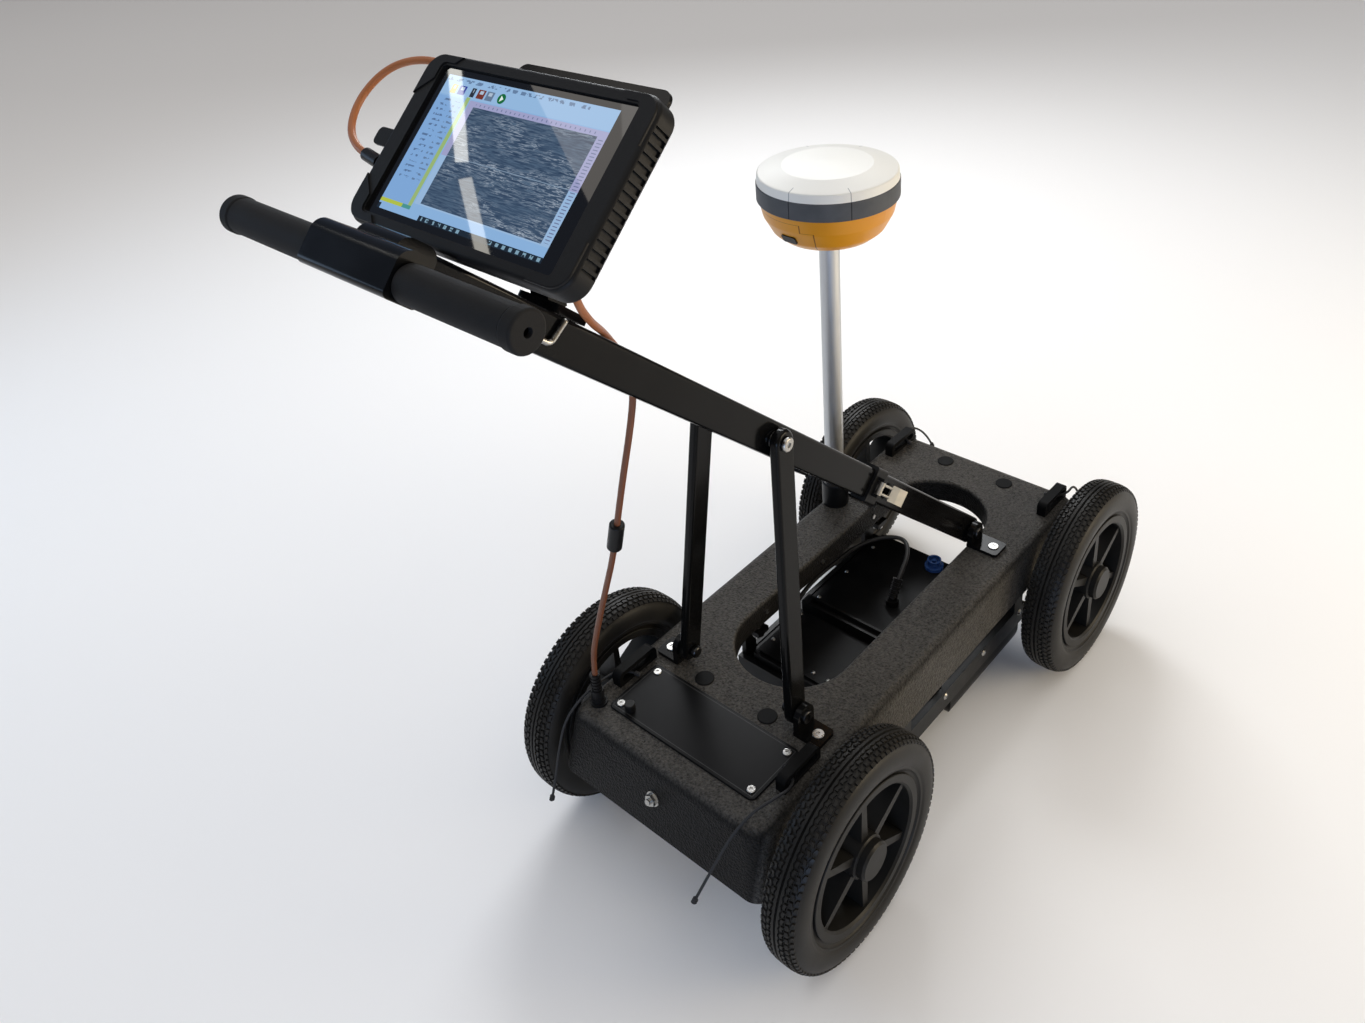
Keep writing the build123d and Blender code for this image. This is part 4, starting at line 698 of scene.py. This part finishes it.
# The draw latches have a black cast block on the beam, and a plated lever that hooks on the arm.
# The pole's clamp and the frame of the antenna sled have the finish of the blocks.
cast_black = drifting_finish(
    "cast_black",
    dark=(0.003, 0.003, 0.003),
    light=(0.01, 0.01, 0.01),
    gloss=(0.26, 0.46),
    drift_size=60,
    grain_size=500,
    grain_depth=0.25,
)
dress(cast_black, "latch_blocks", "pole_clamp", "antenna_frame")
plated_steel = drifting_finish(
    "plated_steel",
    dark=(0.4, 0.38, 0.33),
    light=(0.56, 0.53, 0.47),
    gloss=(0.3, 0.48),
    drift_size=90,
    grain_size=1200,
    grain_depth=0.15,
    metal=1,
)
dress(plated_steel, "latch_right", "latch_left")

# The yoke is a moulded cover of glossy black plastic over the middle of the handlebar.
# Its top is flat.
yoke_black = drifting_finish(
    "yoke_black",
    dark=(0.002, 0.002, 0.002),
    light=(0.007, 0.007, 0.007),
    gloss=(0.12, 0.24),
    drift_size=28,
    grain_size=600,
    grain_depth=0.06,
    mirror=0.2,
)
dress(yoke_black, "handlebar_yoke")

# The grips are black foam rubber sleeves, pushed over the ends of the handlebar tube.
# A moulded cap closes each end.
grip_foam = drifting_finish(
    "grip_foam",
    dark=(0.005, 0.005, 0.0055),
    light=(0.016, 0.0155, 0.015),
    gloss=(0.6, 0.8),
    drift_size=45,
    grain_size=1100,
    grain_depth=0.6,
    mirror=0.18,
)
dress(grip_foam, "grips")

# The tablet has a black plastic case in a thick rubber bumper with ribbed sides.
# The push buttons and the two units under the deck are of the same plastic.
case_plastic = drifting_finish(
    "case_plastic",
    dark=(0.004, 0.004, 0.004),
    light=(0.01, 0.01, 0.01),
    gloss=(0.3, 0.46),
    drift_size=40,
    grain_size=800,
    grain_depth=0.15,
)
dress(case_plastic, "tablet_case", "tablet_button", "control_unit", "battery_pack", "power_button")
bumper_rubber = drifting_finish(
    "bumper_rubber",
    dark=(0.004, 0.004, 0.0045),
    light=(0.012, 0.012, 0.012),
    gloss=(0.4, 0.58),
    drift_size=30,
    grain_size=900,
    grain_depth=0.25,
)
dress(bumper_rubber, "tablet_bumper")

# The screen is glass over a lit picture, bonded into the tablet's case. It shows a tool bar, a panel
# of settings, a grey sounding with wavy layers in a lilac frame, and a dark task bar.
screen_lit, screen_shader, screen_place = new_finish("screen_lit")
picture_size = (0.217, 0.136)
picture_middle = tablet_frame @ Vector((-0.004, 0, 0))
screen_flat = screen_place.node(
    "ShaderNodeMapping",
    {"vector_type": "TEXTURE"},
    {
        "Vector": screen_place,
        "Location": tuple(picture_middle),
        "Rotation": (tablet_slope, 0, 0),
        "Scale": (*picture_size, 1),
    },
)
across = screen_flat.axis(0)
up = screen_flat.axis(1)


def field(left, right, low, high):
    """A rectangle of the picture, in shares of its width and height from its middle."""
    return across.between(left, right) * up.between(low, high)


def rows(count, low, high):
    """Bars one over the other, so many to the picture's height."""
    return (up * count).maths("FRACT").between(low, high)


def columns(count, low, high):
    """Bars side by side, so many to the picture's width."""
    return (across * count).maths("FRACT").between(low, high)


layers = screen_flat.stretched((15, 92, 0)).noise(1, 2, 0.55, 0.7)
echo_patches = screen_flat.stretched((3.2, 7, 0)).noise(1, 2, 0.6)
echo_lines = (0.055 - (layers - 0.56).maths("ABSOLUTE")) * 18
echo_lines = echo_lines.maths("MAXIMUM", 0.0) * (echo_patches * 3.6 - 1.45)
sounding = (layers * 2.4 - 0.7).mix((0.018, 0.04, 0.085), (0.075, 0.125, 0.195))
sounding = echo_lines.mix(sounding, (0.4, 0.46, 0.54))
scribble = screen_flat.stretched((1, 0.62, 0)).noise(46, 2)
writing = (scribble > 0.5) * rows(26, 0.3, 0.68)
tool_bar = field(-0.5, 0.5, 0.36, 0.5)
menu = field(-0.5, 0.35, 0.462, 0.486) * (scribble > 0.52)
settings_panel = field(-0.5, -0.325, -0.44, 0.35)
setting_names = field(-0.47, -0.41, -0.28, 0.35) * writing
setting_values = field(-0.385, -0.335, -0.28, 0.35) * writing
divider = field(-0.325, -0.302, -0.44, 0.37)
state_bar = field(-0.5, -0.357, -0.45, -0.424)
state_end = field(-0.357, -0.302, -0.45, -0.424)
upper_frame = field(-0.295, 0.5, -0.045, 0.353)
lower_frame = field(-0.295, 0.5, -0.4, -0.045)
top_ruler = columns(38, 0.4, 0.6) * field(-0.25, 0.45, 0.325, 0.34)
side_ruler = rows(46, 0.35, 0.65) * field(0.465, 0.49, -0.38, 0.3)
sounding_field = field(-0.2585, 0.454, -0.39, 0.313)
sounding_line = field(-0.2585, 0.454, -0.043, -0.038)
picture = field(-0.5, 0.5, -0.5, 0.5).mix((0.0012, 0.0012, 0.0014), (0.24, 0.42, 0.68))
picture = tool_bar.mix(picture, (0.28, 0.46, 0.7))
picture = menu.mix(picture, (0.12, 0.2, 0.34))
picture = settings_panel.mix(picture, (0.2, 0.37, 0.65))
picture = setting_names.mix(picture, (0.09, 0.16, 0.3))
picture = setting_values.mix(picture, (0.12, 0.2, 0.34))
picture = divider.mix(picture, (0.3, 0.44, 0.16))
picture = state_bar.mix(picture, (0.42, 0.5, 0.05))
picture = state_end.mix(picture, (0.06, 0.28, 0.26))
picture = upper_frame.mix(picture, (0.33, 0.34, 0.55))
picture = lower_frame.mix(picture, (0.3, 0.46, 0.68))
picture = (top_ruler + side_ruler).mix(picture, (0.14, 0.17, 0.3))
picture = sounding_field.mix(picture, sounding)
picture = sounding_line.mix(picture, (0.2, 0.28, 0.38))
icon_border = 0.011
tool_icons = [
    (-0.445, -0.41, (0.45, 0.4, 0.08)),
    (-0.397, -0.353, (0.02, 0.035, 0.3)),
    (-0.318, -0.292, (0.015, 0.02, 0.035)),
    (-0.276, -0.232, (0.16, 0.025, 0.012)),
    (-0.222, -0.178, (0.12, 0.18, 0.28)),
]
for icon_left, icon_right, icon_tint in tool_icons:
    icon_face = field(icon_left + icon_border, icon_right - icon_border, 0.408, 0.432)
    picture = field(icon_left, icon_right, 0.375, 0.44).mix(picture, icon_tint)
    picture = icon_face.mix(picture, (0.4, 0.5, 0.62))
start_radius = 0.0049
start_x = (across + 0.128) * picture_size[0]
start_y = (up - 0.409) * picture_size[1]
start_disc = start_x * start_x + start_y * start_y < start_radius ** 2
start_mark = (start_x > -0.0016) * (start_x + start_y.maths("ABSOLUTE") * 1.3 < 0.0024)
picture = start_disc.mix(picture, (0.0, 0.13, 0.03))
picture = start_mark.mix(picture, (0.75, 0.85, 0.8))
task_bar = field(-0.228, 0.5, -0.5, -0.463)
task_corner = field(-0.5, -0.482, -0.5, -0.463)
task_icons = columns(26, 0.3, 0.75) * (field(-0.21, 0.03, -0.494, -0.47) + field(0.2, 0.49, -0.494, -0.47))
picture = task_bar.mix(picture, (0.006, 0.014, 0.026))
picture = task_corner.mix(picture, (0.006, 0.014, 0.026))
picture = (task_icons * (scribble > 0.42)).mix(picture, (0.2, 0.34, 0.44))
join(
    screen_shader,
    Base_Color=(0.003, 0.003, 0.0035, 1),
    Roughness=0.012 + 0.02 * screen_place.noise(40, 3),
    Emission_Color=picture,
    Emission_Strength=1.0,
)
dress(screen_lit, "tablet_screen")

# Two tube lights and a pale wall stand behind the camera, where the glass mirrors them to it.
# Their places are worked out from the spots where the glass shows them in the photograph.
glass_way = tablet_frame.to_3x3() @ Vector((0, 0, 1))
mirror_distance = 2.0


def mirrored(x, y):
    """The place that the camera sees in the glass at x, y of the screen, in millimetres."""
    spot = tablet_frame @ Vector((x / 1000, y / 1000, 0))
    sight = (spot - camera.matrix_world.translation).normalized()
    return spot + sight.reflect(glass_way) * mirror_distance


mirrored_lights = {
    "tube_upper": ((-116, 80), (-39, -6), 0.034, 0.22, (1, 0.98, 0.9)),
    "tube_lower": ((-22, -22), (47, -81), 0.034, 0.13, (1, 0.96, 0.86)),
    "pale_wall": ((20, 134), (170, 20), 0.36, 0.8, (1, 0.92, 0.82)),
}
for light_name, (one_end, other_end, wide, power, tint) in mirrored_lights.items():
    first = mirrored(*one_end)
    last = mirrored(*other_end)
    size = ((last - first).length, wide)
    soft_box(light_name, (first + last) / 2, last - first, tablet_centre, size, power, tint)

# The cable's plug, ferrite bead and boot, the lead's boot, the data socket and the receiver's port
# are moulded black plastic, each fixed on its cord or in its housing.
moulded_black = drifting_finish(
    "moulded_black",
    dark=(0.004, 0.004, 0.004),
    light=(0.011, 0.011, 0.012),
    gloss=(0.26, 0.44),
    drift_size=120,
    grain_size=900,
    grain_depth=0.2,
)
dress(moulded_black, "cable_plug", "ferrite_bead", "cable_boot", "lead_boot", "data_socket", "receiver_port")

# The satellite receiver is an orange bowl with a grey band and a white radome, screwed on a pole.
# Fine seams part the band and the radome's edge, and run round the door beside the port.
bowl_orange = drifting_finish(
    "bowl_orange",
    dark=(0.62, 0.24, 0.008),
    light=(0.72, 0.31, 0.014),
    gloss=(0.3, 0.44),
    drift_size=24,
    grain_size=700,
    grain_depth=0.1,
    mirror=0.4,
)
dress(bowl_orange, "receiver_body")
band_grey = drifting_finish(
    "band_grey",
    dark=(0.055, 0.06, 0.066),
    light=(0.1, 0.105, 0.115),
    gloss=(0.4, 0.58),
    drift_size=40,
    grain_size=900,
    grain_depth=0.15,
)
dress(band_grey, "receiver_band")
radome_white = drifting_finish(
    "radome_white",
    dark=(0.76, 0.755, 0.715),
    light=(0.82, 0.815, 0.77),
    gloss=(0.32, 0.46),
    drift_size=12,
    grain_size=800,
    grain_depth=0.06,
)
dress(radome_white, "receiver_cap")
band_low, band_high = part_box("receiver_band")
band_middle = (band_low + band_high) / 2
band_radius = (band_high.x - band_low.x) / 2
seam_angles = (-85.2, -35.8, 94.8, 144.2)
seam_half = 0.35
seam_from = band_radius * 0.86


def from_band(material):
    """The Object coordinates of a finish, measured from the middle of the band."""
    place = Flow(material.node_tree).node("ShaderNodeTexCoord", None, None, 3)
    inputs = {"Vector": place, "Location": tuple(band_middle)}
    return place.node("ShaderNodeMapping", {"vector_type": "TEXTURE"}, inputs)


def angle_round(place):
    """The angle round the pole in degrees, from the right over the front."""
    return place.axis(1).maths("ARCTAN2", place.axis(0)) * math.degrees(1)


def draw_seam(material, seam, tint):
    """Lay a thin dark line over the colour of a finish."""
    shader = material.node_tree.nodes["Principled BSDF"]
    colour = Flow(material.node_tree, shader.inputs["Base Color"].links[0].from_socket)
    join(shader, Base_Color=seam.mix(colour, tint))


for seamed, seam_tint in ((band_grey, (0.012, 0.012, 0.014)), (radome_white, (0.34, 0.35, 0.36))):
    seam_place = from_band(seamed)
    seam_angle = angle_round(seam_place)
    seams = sum(seam_angle.between(line - seam_half, line + seam_half) for line in seam_angles)
    right = seam_place.axis(0)
    forward = seam_place.axis(1)
    outer = (right * right + forward * forward).maths("SQRT") > seam_from
    draw_seam(seamed, outer * seams, seam_tint)
bowl_place = from_band(bowl_orange)
bowl_angle = angle_round(bowl_place)
below_band = (band_low.z - band_middle.z) - bowl_place.axis(2)
door_left = -150
door_steps = [(-78, 0.008), (-66, 0.02)]
inset_depth = 0.0005


def door(inset):
    """The stepped door in the bowl, its edge drawn in by an inset in degrees or half millimetres."""
    upper, lower = [
        bowl_angle.between(door_left + inset, side - inset) * (below_band > depth + inset * inset_depth)
        for side, depth in door_steps
    ]
    return upper.maths("MAXIMUM", lower)


draw_seam(bowl_orange, door(0) - door(1), (0.16, 0.055, 0.003))
pole_alloy, pole_shader, pole_place = new_finish("pole_alloy")
drawn = pole_place.stretched((1, 1, 0.04)).noise(700, 3)
join(
    pole_shader,
    Base_Color=drawn.mix((0.46, 0.47, 0.48), (0.62, 0.63, 0.64)),
    Metallic=1.0,
    Roughness=0.36 + 0.16 * drawn,
    Normal=drawn.bump(0.1, 0.0002),
)
dress(pole_alloy, "pole")

# The antenna hangs in a frame under the deck: a black housing and a smaller module, both with lids.
# Its plug is blue anodised metal, screwed on the socket of the front lid.
sled_black = drifting_finish(
    "sled_black",
    dark=(0.002, 0.002, 0.0025),
    light=(0.008, 0.008, 0.008),
    gloss=(0.3, 0.46),
    drift_size=20,
    grain_size=500,
    grain_depth=0.2,
    mirror=0.1,
)
dress(sled_black, "antenna_housing", "antenna_module", "antenna_lids")
plug_blue = drifting_finish(
    "plug_blue",
    dark=(0.012, 0.045, 0.17),
    light=(0.05, 0.12, 0.34),
    gloss=(0.2, 0.36),
    drift_size=140,
    grain_size=900,
    grain_depth=0.1,
    mirror=0.5,
)
dress(plug_blue, "antenna_plug")

# The rails and the lids of the sled are held by pan head screws of bright steel.
# Each head is turned, with a hollow drive in its face.
head_radius = 0.0052
head_outline = [
    (0.0, 0.0012),
    (0.0018, 0.0012),
    (0.0022, 0.0026),
    (0.0038, 0.0022),
    (head_radius, 0.0008),
    (head_radius, -0.0004),
]
head_form = bmesh.new()
head_points = [head_form.verts.new((radius, 0, height)) for radius, height in head_outline]
for point, following in zip(head_points, head_points[1:]):
    head_form.edges.new((point, following))
bmesh.ops.spin(
    head_form,
    geom=head_form.verts[:] + head_form.edges[:],
    axis=(0, 0, 1),
    cent=(0, 0, 0),
    angle=math.tau,
    steps=24,
    use_merge=True,
)
bmesh.ops.remove_doubles(head_form, verts=head_form.verts[:], dist=0.00002)
bmesh.ops.holes_fill(head_form, edges=[edge for edge in head_form.edges if edge.is_boundary])
bmesh.ops.recalc_face_normals(head_form, faces=head_form.faces[:])
head_mesh = bpy.data.meshes.new("screw_head")
head_form.to_mesh(head_mesh)
head_form.free()
rail_low, rail_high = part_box("antenna_frame")
rail_screw_height = 96
rail_screw_rows = (211, 320, 428, 537)
lid_level = 122
lid_screw_x = 108
lid_screw_rows = (240, 310, 357, 432, 507)
lid_screw_share = 0.6
rear_screw_row = 222
upward = Vector((0, 0, 1))
screw_seats = []
for side, rail_face, rear_screw_x in ((1, rail_high.x, 7), (-1, rail_low.x, -19)):
    outward = Vector((side, 0, 0))
    for row in rail_screw_rows:
        screw_seats.append((from_axle(rail_face * 1000, row, rail_screw_height), outward, 1.0))
    lid_places = [(side * lid_screw_x, row) for row in lid_screw_rows]
    for x, row in lid_places + [(rear_screw_x, rear_screw_row)]:
        screw_seats.append((from_axle(x, row, lid_level), upward, lid_screw_share))
sled_screws = bmesh.new()
for seat, way, share in screw_seats:
    already = len(sled_screws.verts)
    sled_screws.from_mesh(head_mesh)
    place = Matrix.Translation(seat) @ way.to_track_quat("Z", "Y").to_matrix().to_4x4()
    bmesh.ops.transform(sled_screws, verts=sled_screws.verts[already:], matrix=place @ Matrix.Scale(share, 4))
sled_screw_mesh = bpy.data.meshes.new("sled_screws")
sled_screws.to_mesh(sled_screw_mesh)
sled_screws.free()
bpy.data.meshes.remove(head_mesh)
sled_screw_mesh.materials.append(bright_steel)
sled_screw_mesh.shade_smooth()
sled_screw_mesh.set_sharp_from_angle(angle=math.radians(30))
sled_screw_piece = bpy.data.objects.new("sled_screws", sled_screw_mesh)
bpy.context.scene.collection.objects.link(sled_screw_piece)
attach(sled_screw_piece, "antenna")
